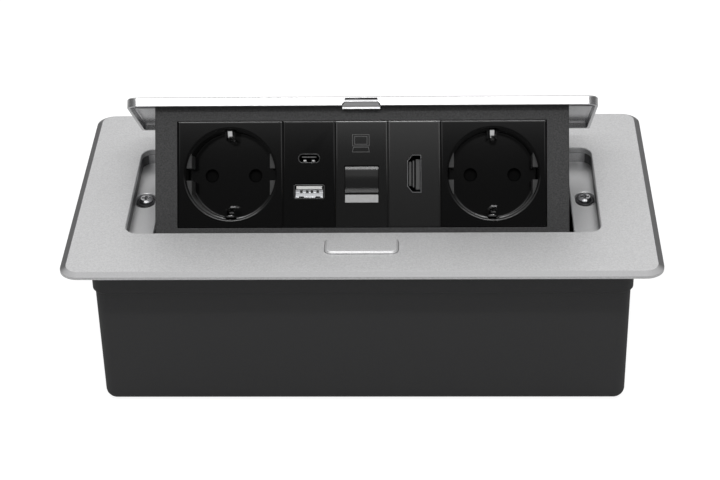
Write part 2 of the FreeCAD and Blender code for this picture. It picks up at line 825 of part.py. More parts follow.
def lid():
    """A shallow aluminium tray, upside down, with the strike's notch and four screw holes."""
    half = lid_width / 2
    plate = block(-half, half, lid_front, lid_rear, lid_under, deck)
    plate = plate.makeFillet(lid_front_corner, uprights(plate, lid_front))
    plate = plate.makeFillet(lid_rear_corner, uprights(plate, lid_rear))
    crown = [edge for edge in plate.Edges if edge.BoundBox.ZMin > deck - 1e-6]
    plate = plate.makeChamfer(lid_edge_break, crown)
    hollow = block(-half + lid_rim, half - lid_rim, lid_front + lid_rim, lid_rear - lid_rim,
                   lid_under - 1, skin_under)
    hollow = hollow.makeFillet(lid_front_corner - lid_rim, uprights(hollow, lid_front + lid_rim))
    ribs = []
    for y in (lid_front + lid_front_rib, lid_rear - lid_rear_rib):
        for x0, x1 in ((-half + 1, -face_width / 2), (face_width / 2, half - 1)):
            ribs.append(block(x0, x1, y - lid_rib / 2, y + lid_rib / 2,
                              skin_under - lid_rib_drop, skin_under + 0.2))
    notch = prism(strike_outline(lid_front - 1, strike_slot_top, lid_height + 1),
                  V(0, 1 + lid_rim + strike_seat, 0))
    holes = [rod(small_screw_hole, V(x, y, skin_under - 1), V(x, y, deck - 0.6)) for x, y in lid_screw_places]
    return join(plate.cut(hollow), *ribs).cut([notch] + holes)


def latch_strike():
    """The plate behind the notch: a flat that the nose holds, then a ramp that pushes it back."""
    back = lid_front + lid_rim + strike_seat + 1.6
    profile = [(lid_front, deck - strike_top), (back, deck - strike_top), (back, deck - strike_foot),
               (lid_front + strike_lean, deck - strike_foot), (lid_front + strike_lean, deck - lid_height),
               (lid_front, deck - strike_flat)]
    body = side_prism(profile, -strike_half_foot, strike_half_foot)
    return body.common(prism(strike_outline(lid_front - 1, strike_top, strike_foot), V(0, 8, 0)))


# Module: face frame, shell, arms

def face_frame():
    top = (skin_under - 0.2 - face_z - face_thick * rake_sin) / rake_cos
    foot = -window_height / 2 - face_below_window
    plate = block(-face_width / 2, face_width / 2, foot, top, -face_thick, 0)
    edges = [edge for edge in plate.Edges
             if edge.BoundBox.ZMin > -1e-6 and edge.BoundBox.ZMax < 1e-6]
    plate = plate.makeChamfer(face_edge_break, edges)
    window = block(-window_width / 2, window_width / 2, -window_height / 2, window_height / 2,
                   -face_thick - 1, 1)
    relief = block(-strike_half_foot - 0.4, strike_half_foot + 0.4, top - 3.0, top + 1, -face_thick - 1, 1)
    return plate.cut([window, relief])


def shell_profile(inset):
    """The shut module's side outline, drawn in by a wall's thickness."""
    w = -face_thick - (inset if inset else 0.0)
    top = skin_under - inset
    rear = shell_rear_back - inset
    top_front_v = (top - face_z + w * rake_sin) / rake_cos
    foot_v = -window_height / 2 - face_below_window + 1.0 + inset
    return [face_point(top_front_v, w), (rear, top), (rear, deck - shell_rear_break + inset * 0.2),
            (shell_foot_back - inset, deck - shell_foot_drop + inset), face_point(foot_v, w)]


def arm_screw_places():
    high = skin_under - shell_wall - 3.0
    foot_y, foot_z = face_point(-window_height / 2, -face_thick)
    return [(shell_rear_back - shell_wall - 2.6, high),
            (face_point(0, -face_thick)[0] + 3.2, high),
            (shell_foot_back - 4.0, deck - shell_foot_drop + shell_wall + 3.0),
            (foot_y + 6.0, foot_z - 1.2)]


def module_shell():
    """The moulded back of the module: a bent wall open at the face and at both ends."""
    outer = side_prism(shell_profile(0), -arm_inside, arm_inside)
    inner_points = shell_profile(shell_wall)
    first = inner_points[0]
    last = inner_points[-1]
    ahead = (face_point(0, 1)[0] - face_point(0, 0)[0]) * (shell_wall + 1)
    ahead_z = (face_point(0, 1)[1] - face_point(0, 0)[1]) * (shell_wall + 1)
    inner_points[0] = (first[0] + ahead, first[1])
    inner_points[-1] = (last[0] + ahead, last[1] + ahead_z)
    inner = side_prism(inner_points, -arm_inside - 1, arm_inside + 1)
    wall = outer.cut(inner)
    bosses = []
    holes = []
    for y, z in arm_screw_places():
        for side in (-1, 1):
            a = V(side * arm_inside, y, z)
            b = V(side * (arm_inside - arm_boss_length), y, z)
            bosses.append(rod(arm_boss_radius, b, a).common(outer))
            holes.append(rod(small_screw_hole, V(side * (arm_inside - arm_boss_length + 2), y, z),
                             V(side * (arm_inside + 1), y, z)))
    leads = []
    for x0, x1 in ((-40.0, -14.0), (8.0, 34.0)):
        leads.append(block(x0, x1, shell_foot_back - 11.0, shell_foot_back - 3.0, deck - shell_foot_drop - 3,
                           deck - shell_foot_drop + 4))
    lid_holes = [rod(small_screw_clear, V(x, y, skin_under - shell_wall - 1), V(x, y, skin_under + 1))
                 for x, y in lid_screw_places]
    return join(wall, *bosses).cut(holes + leads + lid_holes)


def end_arm(side):
    """A steel end plate whose swan neck reaches back under the tray to the pivot."""
    top = deck - arm_top_drop
    profile = shell_profile(0)
    profile = [profile[0], profile[1], (shell_rear_back, top), (pivot_y - stop_back + 1.5, top),
               (pivot_y - 1.5, pivot_z + eye_radius - 0.15), (pivot_y + 1.2, pivot_z - eye_radius + 0.15),
               (shell_rear_back, deck - arm_bottom_drop), profile[2], profile[3], profile[4]]
    outside = arm_inside + arm_thick
    plate = side_prism(profile, arm_inside, outside)
    eye = rod(eye_radius, V(arm_inside, pivot_y, pivot_z), V(outside, pivot_y, pivot_z))
    seat_z = pivot_z - spring_radius + spring_wire + 0.1
    seat = block(arm_inside - 3.5, arm_inside + 0.5, pivot_y - spring_moving_leg - 0.5,
                 pivot_y - spring_moving_leg + 3.0, seat_z, seat_z + 1.6)
    shape = join(plate, eye, seat)
    sinks = []
    for y, z in arm_screw_places():
        sinks.append(cone(small_screw_hole + 0.25, small_screw_hole + 0.25 + arm_thick, V(arm_inside, y, z),
                          V(outside, y, z)))
    shape = shut_to_rest(shape.cut(sinks))
    bore = rod(pin_radius + running_clearance, V(arm_inside - 1, pivot_y, pivot_z),
               V(outside + 1, pivot_y, pivot_z))
    if side > 0:
        shape = join(shape, gear_sector(arm_inside, outside))
        return shape.cut(bore)
    return shape.cut(bore).mirror(V(0, 0, 0), V(1, 0, 0))


def arm_screws():
    """Countersunk screws with a hexagon socket, flush in the arms."""
    screws = []
    outside = arm_inside + arm_thick
    for y, z in arm_screw_places():
        head = cone(small_screw_hole, small_screw_hole + arm_thick, V(arm_inside, y, z),
                    V(outside - 0.1, y, z))
        shank = rod(small_screw_shank, V(arm_inside - arm_screw_length, y, z), V(arm_inside + 0.5, y, z))
        corners = [V(outside, y + 1.0 * math.cos(step * math.pi / 3), z + 1.0 * math.sin(step * math.pi / 3))
                   for step in range(6)]
        screws += both_sides(shut_to_rest(join(head, shank).cut(prism(corners, V(-1.0, 0, 0)))))
    return screws


# Inserts in the face. Each is drawn about its own middle, then moved along u.

def insert_front(width):
    """The part of an insert that shows: a bevelled block in the window and a flange behind it."""
    wide = width - insert_gap
    high = window_height - 2 * insert_gap
    front = block(-wide / 2, wide / 2, -high / 2, high / 2, -face_thick, -insert_sunk)
    rim = [edge for edge in front.Edges if edge.BoundBox.ZMin > -insert_sunk - 1e-6]
    front = front.makeChamfer(insert_bevel, rim)
    flange = block(-wide / 2, wide / 2, -high / 2 - insert_flange_reach, high / 2 + insert_flange_reach,
                   -face_thick - insert_back_flange, -face_thick)
    return join(front, flange)


def moved(shape, u, v=0.0):
    shape.translate(V(u, v, 0))
    return shape


def socket_insert():
    """A round well with keyed sides, pin holes in its floor and a housing for each earth spring."""
    well_floor = -well_depth
    plate = insert_front(wide_insert)
    barrel = rod(well_radius + well_wall, V(0, 0, -face_thick - 0.5), V(0, 0, -socket_skirt))
    mouth = -insert_sunk
    well = rod(well_radius, V(0, 0, well_floor), V(0, 0, 1))
    bevel = cone(well_radius, well_radius + well_lip, V(0, 0, mouth - 0.8 * well_lip),
                 V(0, 0, mouth + 0.2 * well_lip))
    behind = rod(well_radius, V(0, 0, -socket_skirt - 1), V(0, 0, well_floor - well_floor_thick))
    body = join(plate, barrel).cut([well, bevel, behind])
    keys = []
    for side in (-1, 1):
        for v0, v1 in ((2.7, 8.9), (-8.9, -2.7)):
            u0, u1 = sorted((side * 17.0, side * (well_radius + 0.6)))
            keys.append(block(u0, u1, v0, v1, well_floor - 0.5, mouth - 2.0))
        v0, v1 = sorted((side * clip_housing_reach, side * (well_radius + 0.6)))
        keys.append(block(-clip_housing_half, clip_housing_half, v0, v1, well_floor - 0.5, mouth - 3.0))
    keys = [key.common(rod(well_radius + 0.8, V(0, 0, -30), V(0, 0, 1))) for key in keys]
    body = join(body, *keys)
    cuts = []
    for side in (-1, 1):
        cuts.append(rod(pin_hole_radius, V(side * pin_spacing / 2, 0, well_floor - 3),
                        V(side * pin_spacing / 2, 0, well_floor + 1)))
        v0, v1 = sorted((side * (clip_housing_reach - 1.5), side * (well_radius - 0.6)))
        cuts.append(block(-clip_half_width - 0.2, clip_half_width + 0.2, v0, v1,
                          well_floor - 3, mouth - 4.0))
    hub = rod(shutter_hub, V(0, 0, well_floor - 4.6), V(0, 0, well_floor - 1.0))
    return join(body.cut(cuts), hub)


def earth_clip():
    """One bent spring strip: both tips stand in the well and the bow runs behind the base."""
    back = -socket_base_end
    outer = [(16.9, -4.9), (15.0, -7.6), (14.2, -10.6), (14.9, -13.4), (16.6, -16.4), (17.0, -19.5),
             (17.0, back)]
    inner = [(16.2, -16.6), (14.1, -13.6), (13.4, -10.6), (14.2, -7.4), (16.1, -4.6)]
    strip = outer + [(17.0, back - clip_thick)]
    strip += [(-17.0, back - clip_thick), (-17.0, back)]
    strip += [(-v, w) for v, w in reversed(outer[:-1])]
    strip += [(-v, w) for v, w in reversed(inner)]
    strip += [(-16.2, -19.5), (-16.2, back), (16.2, back), (16.2, -19.5)]
    strip += inner
    points = [V(-clip_half_width, v, w) for v, w in strip]
    return prism(points, V(2 * clip_half_width, 0, 0))


def socket_shutter():
    """A disc that shades both pin holes until two pins turn it aside together."""
    top = -well_depth - well_floor_thick - 0.15
    disc = rod(shutter_radius, V(0, 0, top - shutter_thick), V(0, 0, top))
    cuts = [rod(shutter_hub + running_clearance, V(0, 0, top - 3), V(0, 0, top + 1))]
    for side in (-1, 1):
        angle = math.radians(-shutter_turn)
        u = side * pin_spacing / 2 * math.cos(angle)
        v = side * pin_spacing / 2 * math.sin(angle)
        cuts.append(rod(pin_hole_radius + 0.1, V(u, v, top - 3), V(u, v, top + 1)))
    return disc.cut(cuts)


def socket_base():
    """The rear moulding that carries both contact tubes and closes the socket's skirt."""
    front = -well_depth - socket_base_front
    body = rod(well_radius - 0.1, V(0, 0, -socket_base_end), V(0, 0, front))
    cuts = []
    for side in (-1, 1):
        u = side * pin_spacing / 2
        cuts.append(rod(tube_radius + running_clearance, V(u, 0, -socket_base_end - 1), V(u, 0, front + 1)))
        v0, v1 = sorted((side * 16.0, side * 17.2))
        cuts.append(block(-clip_half_width - 0.2, clip_half_width + 0.2, v0, v1,
                          -socket_base_end - 1, front + 1))
    return body.cut(cuts)


def contact_tubes():
    """Two sprung brass tubes, slit along their length."""
    tubes = []
    mouth = -well_depth - socket_base_front
    for side in (-1, 1):
        u = side * pin_spacing / 2
        wall = rod(tube_radius, V(u, 0, -tube_end), V(u, 0, mouth - 0.2))
        bore = rod(tube_bore, V(u, 0, -tube_end + 2), V(u, 0, mouth + 1))
        slit = block(u - 4, u + 4, -0.3, 0.3, -tube_end + 4, mouth + 1)
        tubes.append(wall.cut([bore, slit]))
    return tubes


def busbar(v0, v1, tab_low, tab_high, contact_side, w_front):
    """A brass strip behind both sockets, with a tab on to each contact of its own pole."""
    low = -socket_u + contact_side * pin_spacing / 2
    high = socket_u + contact_side * pin_spacing / 2
    strip = block(low - 4, high + 4, v0, v1, w_front - busbar_thick, w_front)
    tabs = [block(u - 3, u + 3, tab_low, tab_high, w_front - busbar_thick, w_front) for u in (low, high)]
    return join(strip, *tabs)


# USB insert

def rounded_bar(width, height, radius, w0, w1, v):
    wire = round_rectangle(width, height, radius, w0, 0, v)
    return Part.Face(wire).extrude(V(0, 0, w1 - w0))


def usb_face():
    body = insert_front(narrow_insert)
    c_hole = rounded_bar(usb_c_width + 2 * port_fit, usb_c_height + 2 * port_fit, usb_c_height / 2,
                         -6, 1, usb_c_v)
    a_hole = rounded_bar(usb_a_width + 2 * port_fit, usb_a_height + 2 * port_fit, 0.7, -6, 1, usb_a_v)
    return body.cut([c_hole, a_hole])


def usb_c_shell():
    """A drawn metal tube with round ends, closed at the board."""
    outer = rounded_bar(usb_c_width, usb_c_height, usb_c_height / 2 - 0.05, board_w, -0.8, usb_c_v)
    inner = rounded_bar(usb_c_width - 2 * usb_shell_wall, usb_c_height - 2 * usb_shell_wall,
                        usb_c_height / 2 - 0.05 - usb_shell_wall, board_w + 8, 0, usb_c_v)
    return outer.cut(inner)


def usb_c_tongue():
    return block(-3.4, 3.4, usb_c_v - 0.35, usb_c_v + 0.35, board_w + 8, -1.6)


def usb_a_shell():
    outer = rounded_bar(usb_a_width, usb_a_height, 0.6, board_w, -0.6, usb_a_v)
    inner = rounded_bar(usb_a_width - 2 * usb_shell_wall, usb_a_height - 2 * usb_shell_wall, 0.4,
                        board_w + 3, 0, usb_a_v)
    return outer.cut(inner)


def usb_a_tongue():
    return block(-5.6, 5.6, usb_a_v - 0.1, usb_a_v + 1.9, board_w + 3, -1.4)


def charger_board():
    return block(-10.0, 10.0, -20.0, 20.0, board_w - board_thick, board_w)


def charger_parts():
    w = board_w - board_thick
    core = block(-8.0, 8.0, -8.0, 6.0, w - 9.5, w)
    tall = rod(4.0, V(-4.5, 14.0, w - 10.5), V(-4.5, 14.0, w))
    short = rod(3.0, V(5.0, 13.0, w - 8.0), V(5.0, 13.0, w))
    chip = block(-3.0, 3.0, -16.5, -11.5, w - 2.4, w)
    return core, tall, short, chip


# Data insert with its sliding shutter

def data_face():
    """The insert's front with the jack's window, the shutter's track behind it and the label's seat."""
    body = insert_front(narrow_insert)
    window = block(-data_window_half, data_window_half, data_window_low, data_window_high, -9, 1)
    track = block(-data_window_half - 0.1, data_window_half + 0.1, data_window_low - 0.1,
                  data_window_high + shutter_lift + 1.0, -6, -1.9)
    label = block(-data_window_half, data_window_half, label_low, label_high, -insert_sunk - label_sunk, 1)
    return body.cut([window, track, label])


def data_label():
    return block(-data_window_half + 0.1, data_window_half - 0.1, label_low + 0.1, label_high - 0.1,
                 -insert_sunk - label_sunk, -insert_sunk - 0.1)


def rj45_shutter():
    """A flat slide with a finger lip along its lower edge."""
    half = data_window_half - shutter_side_fit
    low = data_window_low + 0.3
    profile = [(data_window_high + 0.6, -3.2), (data_window_high + 0.6, -2.1), (low + 1.8, -2.1),
               (low + 1.8, -1.5), (low + 0.8, -0.6), (low, -0.9), (low, -3.2)]
    return prism([V(-half, v, w) for v, w in profile], V(2 * half, 0, 0))


def rj45_jack():
    body = block(-8.0, 8.0, -8.2, 8.2, -30.0, -4.6)
    mouth = block(-5.95, 5.95, -5.6, 2.6, -21.0, -4)
    latch = block(-3.1, 3.1, -7.3, -5.0, -17.0, -4)
    return body.cut([mouth, latch])


def rj45_contacts():
    wires = []
    for index in range(8):
        u = (index - 3.5) * contact_pitch
        points = [(2.6, -6.5), (2.0, -6.5), (-0.8, -13.5), (-0.4, -13.8), (2.6, -7.8)]
        wires.append(prism([V(u - 0.23, v, w) for v, w in points], V(0.46, 0, 0)))
    return wires


# HDMI insert

def hdmi_outline(grow, w):
    """The port's outline, upright, with both left-hand corners cut off."""
    a = hdmi_half_width + grow
    b = hdmi_half_height + grow
    cut = hdmi_corner_cut
    points = [(-a, -b + cut), (-a + cut, -b), (a, -b), (a, b), (-a + cut, b), (-a, b - cut)]
    return [V(u, v, w) for u, v in points]


def hdmi_face():
    body = insert_front(narrow_insert)
    return body.cut(prism(hdmi_outline(port_fit, -6), V(0, 0, 8)))


def hdmi_shell():
    outer = prism(hdmi_outline(0.0, -16.0), V(0, 0, 16.0 - 0.7))
    return outer.cut(prism(hdmi_outline(-hdmi_wall, -13.0), V(0, 0, 16)))


def hdmi_tongue():
    return block(-0.2, 1.2, -6.2, 6.2, -13.0, -1.8)


def hdmi_body():
    return block(-6.5, 6.5, -11.0, 11.0, -30.0, -16.0)


# Button, latch and their guide

def push_button():
    """The cap, the lugs that hold it under the flange and the wedge that draws the latch."""
    y0 = button_centre_y
    full = (button_width, button_depth, button_corner)
    top = (button_width - 2 * button_bevel, button_depth - 2 * button_bevel, button_corner - button_bevel)
    crown = deck + button_proud
    cap = join(round_plate(*full, deck - button_skirt, crown - button_bevel, 0, y0),
               tapered_plate(full, top, crown - button_bevel, crown, 0, y0))
    reach = button_width / 2 + button_lug_reach
    lug = block(-reach, reach, y0 - button_lug_half, y0 + button_lug_half, button_lug_foot, tray_top - 0.15)
    slope = button_travel + 0.3
    stem = side_prism([(y0 - slope + 0.1, button_lug_foot + 0.5), (y0 - slope + 0.1, slide_z + slope),
                       (y0 + 1.6, slide_z - 1.5), (y0 + 1.6, slide_z - 4.4), (y0 + 3.0, slide_z - 4.4),
                       (y0 + 3.0, button_lug_foot + 0.5)], -stem_half, stem_half)
    pegs = [rod(1.5, V(x, y0, button_lug_foot - 3.2), V(x, y0, button_lug_foot + 0.2))
            for x in (-press_spring_x, press_spring_x)]
    return join(cap, lug, stem, *pegs)


def latch_slider():
    """Bent spring steel: a nose over the strike, a leg down and a plate with the wedge's window."""
    half = latch_width / 2
    tip = opening_front + latch_reach
    nose = side_prism([(tip, latch_top), (tip, latch_top - 0.35), (tip - 0.6, latch_top - latch_thick),
                       (leg_back - leg_thick, latch_top - latch_thick), (leg_back - leg_thick, latch_top)],
                      -half, half)
    leg = block(-half, half, leg_back - leg_thick, leg_back, slide_z - latch_thick, latch_top)
    plate = block(-half, half, button_centre_y - 4.0, leg_back, slide_z - latch_thick, slide_z)
    window = block(-stem_half - 0.3, stem_half + 0.3, button_centre_y,
                   button_centre_y + 3.3 + button_travel, slide_z - 2, slide_z + 1)
    return join(nose, leg, plate).cut(window)


def latch_guide():
    """A moulded cage under the flange: the button drops in it and the slider runs on its rails."""
    body = block(-guide_half, guide_half, guide_front, guide_rear, guide_foot, tray_top)
    reach = button_width / 2 + button_lug_reach + 0.3
    room = block(-reach, reach, guide_front - 1, guide_rear + 1, guide_foot + guide_floor, tray_top + 1)
    rails = []
    half = latch_width / 2
    for side in (-1, 1):
        x0, x1 = sorted((side * (half - 1.4), side * (half + 2.0)))
        rails.append(block(x0, x1, guide_front, guide_rear, guide_foot + 1, slide_z - latch_thick - 0.12))
        x0, x1 = sorted((side * (half + 0.15), side * (half + 2.0)))
        rails.append(block(x0, x1, guide_front, guide_rear, guide_foot + 1, slide_z + 0.1))
    spigots = [rod(1.4, V(x, button_centre_y, guide_foot + 1), V(x, button_centre_y, guide_foot + 5))
               for x in (-press_spring_x, press_spring_x)]
    holes = [rod(small_screw_hole, V(x, y, guide_foot - 1), V(x, y, tray_top + 1))
             for x, y in guide_screw_places]
    return join(body.cut(room), *rails, *spigots).cut(holes)


def button_springs():
    """Two small compression springs, each one wire wound in even turns."""
    top = button_lug_foot - 0.1
    foot = guide_foot + guide_floor + 0.05
    wire = press_spring_wire
    height = top - foot - 2 * wire

    def at(x, turn):
        angle = 2 * math.pi * turn
        return V(x + press_spring_radius * math.cos(angle),
                 button_centre_y + press_spring_radius * math.sin(angle),
                 foot + wire + height * turn / press_spring_turns)

    springs = []
    for x in (-press_spring_x, press_spring_x):
        turns = [quarter / 4 for quarter in range(4 * press_spring_turns)]
        arcs = [Part.Arc(at(x, turn), at(x, turn + 0.125), at(x, turn + 0.25)).toShape() for turn in turns]
        springs.append(wire_along(Part.Wire(arcs), wire))
    return springs


# Everything in its node

keep("flange_plate", flange_plate())
keep("recess_tray", recess_tray())
keep("housing_box", housing_box())
up = V(0, 0, 1)
down = V(0, 0, -1)
tray_seat = ledge_top - counterbore_depth
keep("tray_screws", *[pan_screw(V(side * tray_screw_x, tray_screw_y, tray_seat), down,
                                tray_screw_shank - 0.05, 12.0, 3.1, 1.9) for side in (-1, 1)])
ear_under = tray_top - frame_pad_height - frame_ear_thick
flange_screws = [hex_screw(V(x, y, ear_under), up, 5.5) for x, y in frame_screw_places()]
flange_screws += [hex_screw(V(side * x, y, bracket_top - bracket_thick), up, 4.0)
                  for side in (-1, 1) for x, y in bracket_screw_places]
flange_screws += [hex_screw(V(x, y, guide_foot), up, deck - 1.3 - guide_foot) for x, y in guide_screw_places]
keep("flange_screws", *flange_screws)
keep("mains_grommet", grommet(mains_hole_x, mains_hole_radius, mains_bore_radius))
keep("data_grommet", grommet(data_hole_x, data_hole_radius, data_bore_radius))
keep("cord_clamp", cord_clamp())
clamp_top = clamp_boss_top + clamp_bar
keep("clamp_screws", *[hex_screw(V(mains_hole_x + side * clamp_pitch / 2, clamp_y, clamp_top), down, 8.0)
                       for side in (-1, 1)])
axis_y, axis_z = damper_axis()
front_foot = (pivot_y - bracket_ahead, bracket_top - 6)
plain_low = [(pivot_y + 2, pivot_z - 7.5), (pivot_y - 5, pivot_z - 7.5), front_foot]
damper_low = [(axis_y + 11, axis_z - 11.5), (axis_y - 11, axis_z - 11.5), (axis_y - 11.5, axis_z + 8),
              front_foot]
keep("pivot_bracket_left", bracket(-1, plain_low))
keep("pivot_bracket_right", bracket(1, damper_low))
keep("pivot_pins", *both_sides(pivot_pin()))
keep("pin_clips", *both_sides(pin_clip()))
keep("pivot_bushes", *both_sides(pivot_bush()))
keep("open_stops", *both_sides(open_stop()))
keep("torsion_springs", *both_sides(torsion_spring()))
keep("damper_body", damper_body())
ear_face = bracket_inside + bracket_thick + damper_ear_thick
keep("damper_screws", *[hex_screw(V(ear_face, y, z), V(-1, 0, 0), 4.0, 2.4, 1.5) for y, z in damper_ears()])
keep("damper_pinion", damper_pinion())
keep("latch_guide", latch_guide())
keep("button_springs", *button_springs())
keep("push_button", push_button())
keep("latch_slider", latch_slider())

keep("lid", shut_to_rest(lid()))
keep("latch_strike", shut_to_rest(latch_strike()))
keep("lid_screws", *[shut_to_rest(hex_screw(V(x, y, skin_under - shell_wall), up, 2.8, 2.6, 1.6))
                     for x, y in lid_screw_places])
keep("face_frame", face_to_rest(face_frame()))
keep("module_shell", shut_to_rest(module_shell()))
keep("end_arm_left", end_arm(-1))
keep("end_arm_right", end_arm(1))
keep("arm_screws", *arm_screws())

for name, side in (("left", -1), ("right", 1)):
    u = side * socket_u
    keep("socket_insert_" + name, face_to_rest(moved(socket_insert(), u)))
    keep("socket_shutter_" + name, face_to_rest(moved(socket_shutter(), u)))
    keep("socket_base_" + name, face_to_rest(moved(socket_base(), u)))

keep("earth_clips", *[face_to_rest(moved(earth_clip(), side * socket_u)) for side in (-1, 1)])
keep("contact_tubes", *[face_to_rest(moved(tube, side * socket_u))
                        for side in (-1, 1) for tube in contact_tubes()])
keep("live_busbar", face_to_rest(busbar(3.0, 8.0, -2.5, 3.2, -1, -tube_end)))
keep("neutral_busbar", face_to_rest(busbar(-8.0, -3.0, -3.2, 2.5, 1, -tube_end)))
earth_front = -socket_base_end - clip_thick
keep("earth_busbar", face_to_rest(block(-socket_u - 4, socket_u + 4, -15.5, -10.5, earth_front - busbar_thick,
                                        earth_front)))

usb_u = -narrow_insert
keep("usb_face", face_to_rest(moved(usb_face(), usb_u)))
keep("usb_c_shell", face_to_rest(moved(usb_c_shell(), usb_u)))
keep("usb_c_tongue", face_to_rest(moved(usb_c_tongue(), usb_u)))
keep("usb_a_shell", face_to_rest(moved(usb_a_shell(), usb_u)))
keep("usb_a_tongue", face_to_rest(moved(usb_a_tongue(), usb_u)))
keep("charger_board", face_to_rest(moved(charger_board(), usb_u)))
keep("charger_parts", *[face_to_rest(moved(piece, usb_u)) for piece in charger_parts()])

keep("data_face", face_to_rest(data_face()))
keep("data_label", face_to_rest(data_label()))
keep("rj45_shutter", face_to_rest(rj45_shutter()))
keep("rj45_jack", face_to_rest(rj45_jack()))
keep("rj45_contacts", *[face_to_rest(wire) for wire in rj45_contacts()])

hdmi_u = narrow_insert
keep("hdmi_face", face_to_rest(moved(hdmi_face(), hdmi_u)))
keep("hdmi_shell", face_to_rest(moved(hdmi_shell(), hdmi_u)))
keep("hdmi_tongue", face_to_rest(moved(hdmi_tongue(), hdmi_u)))
keep("hdmi_body", face_to_rest(moved(hdmi_body(), hdmi_u)))

os.makedirs("parts", exist_ok=True)
for name, shape in nodes.items():
    shape.exportStep("parts/" + name + ".step")
    if not shape.isValid() or min(solid.Volume for solid in shape.Solids) < 0.01:
        print("check this shape:", name)
    print(name, len(shape.Solids), "solids", round(shape.Volume, 1), "mm3")
print(len(nodes), "nodes")
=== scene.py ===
import json
import math

import bmesh
import bpy
import numpy as np
from mathutils import Matrix, Vector

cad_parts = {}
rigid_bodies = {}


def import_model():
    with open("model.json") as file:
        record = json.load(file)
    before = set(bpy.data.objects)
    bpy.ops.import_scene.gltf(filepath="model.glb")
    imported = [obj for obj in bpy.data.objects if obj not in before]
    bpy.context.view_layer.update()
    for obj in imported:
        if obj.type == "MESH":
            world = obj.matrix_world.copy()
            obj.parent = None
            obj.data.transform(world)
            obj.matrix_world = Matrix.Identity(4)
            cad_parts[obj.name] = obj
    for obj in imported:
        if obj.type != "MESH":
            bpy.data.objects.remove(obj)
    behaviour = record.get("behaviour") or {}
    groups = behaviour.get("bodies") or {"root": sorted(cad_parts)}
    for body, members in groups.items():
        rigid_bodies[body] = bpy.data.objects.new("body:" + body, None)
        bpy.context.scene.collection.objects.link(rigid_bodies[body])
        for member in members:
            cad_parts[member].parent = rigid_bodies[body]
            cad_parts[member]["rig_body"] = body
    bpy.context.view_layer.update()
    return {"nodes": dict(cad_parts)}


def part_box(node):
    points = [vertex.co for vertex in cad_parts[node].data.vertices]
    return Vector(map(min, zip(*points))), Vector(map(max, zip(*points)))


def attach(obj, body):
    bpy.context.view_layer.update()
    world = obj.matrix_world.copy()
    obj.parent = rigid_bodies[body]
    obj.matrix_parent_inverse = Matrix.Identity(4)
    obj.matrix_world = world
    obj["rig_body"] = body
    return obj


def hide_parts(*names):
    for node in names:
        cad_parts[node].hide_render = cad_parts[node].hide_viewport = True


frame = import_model()


# Flange: a cast and machined aluminium frame, bead blasted and anodised in silver, which lies on
# the table top. Its bevelled rim, the opening's broken edge and the button's hole are cut after
# casting, and the bevel's cut metal has a gloss of its own.
def grained(name, colour, grain, detail, depth, speckle):
    """A material whose noise, at the finish's grain, shifts the colour by the speckle's share both
    ways and lifts the surface by the depth."""
    material = bpy.data.materials.new(name)
    material.use_nodes = True
    tree = material.node_tree
    shader = tree.nodes["Principled BSDF"]
    place = tree.nodes.new("ShaderNodeTexCoord")
    noise = tree.nodes.new("ShaderNodeTexNoise")
    noise.name = "grain"
    noise.inputs["Scale"].default_value = grain
    noise.inputs["Detail"].default_value = detail
    tone = tree.nodes.new("ShaderNodeMix")
    tone.data_type = "RGBA"
    dark = [channel * (1 - speckle) for channel in colour]
    light = [min(channel * (1 + speckle), 1) for channel in colour]
    tone.inputs["A"].default_value = dark + [1]
    tone.inputs["B"].default_value = light + [1]
    bump = tree.nodes.new("ShaderNodeBump")
    bump.inputs["Distance"].default_value = depth
    tree.links.new(place.outputs["Object"], noise.inputs["Vector"])
    tree.links.new(noise.outputs["Fac"], tone.inputs["Factor"])
    tree.links.new(noise.outputs["Fac"], bump.inputs["Height"])
    tree.links.new(tone.outputs["Result"], shader.inputs["Base Color"])
    tree.links.new(bump.outputs["Normal"], shader.inputs["Normal"])
    return material


def blasted_metal(name, colour, roughness, grain, depth=0.00001, metallic=0.85, speckle=0.07):
    """Blasted, plated or drawn metal: its grain also varies the gloss a little, both ways."""
    swing = 0.04
    material = grained(name, colour, grain, 3.0, depth, speckle)
    tree = material.node_tree
    shader = tree.nodes["Principled BSDF"]
    shader.inputs["Metallic"].default_value = metallic
    gloss = tree.nodes.new("ShaderNodeMapRange")
    gloss.inputs["To Min"].default_value = roughness - swing
    gloss.inputs["To Max"].default_value = roughness + swing
    tree.links.new(tree.nodes["grain"].outputs["Fac"], gloss.inputs["Value"])
    tree.links.new(gloss.outputs["Result"], shader.inputs["Roughness"])
    return material


def soft_profile(corners, reach, steps=5):
    """A section line in which each inner corner is a parabola: with p the corner and a and b the
    points `reach` along its two sides, p + (1 - t)^2 (a - p) + t^2 (b - p)."""
    corners = np.asarray(corners, float)
    here = corners[1:-1, None]
    back = corners[:-2, None] - here
    ahead = corners[2:, None] - here
    reach = np.reshape(reach, (-1, 1, 1))
    back = back * reach / np.linalg.norm(back, axis=2, keepdims=True)
    ahead = ahead * reach / np.linalg.norm(ahead, axis=2, keepdims=True)
    share = np.linspace(0, 1, steps)[None, :, None]
    bends = here + (1 - share) ** 2 * back + share ** 2 * ahead
    return np.concatenate([corners[:1], bends.reshape(-1, 2), corners[-1:]])


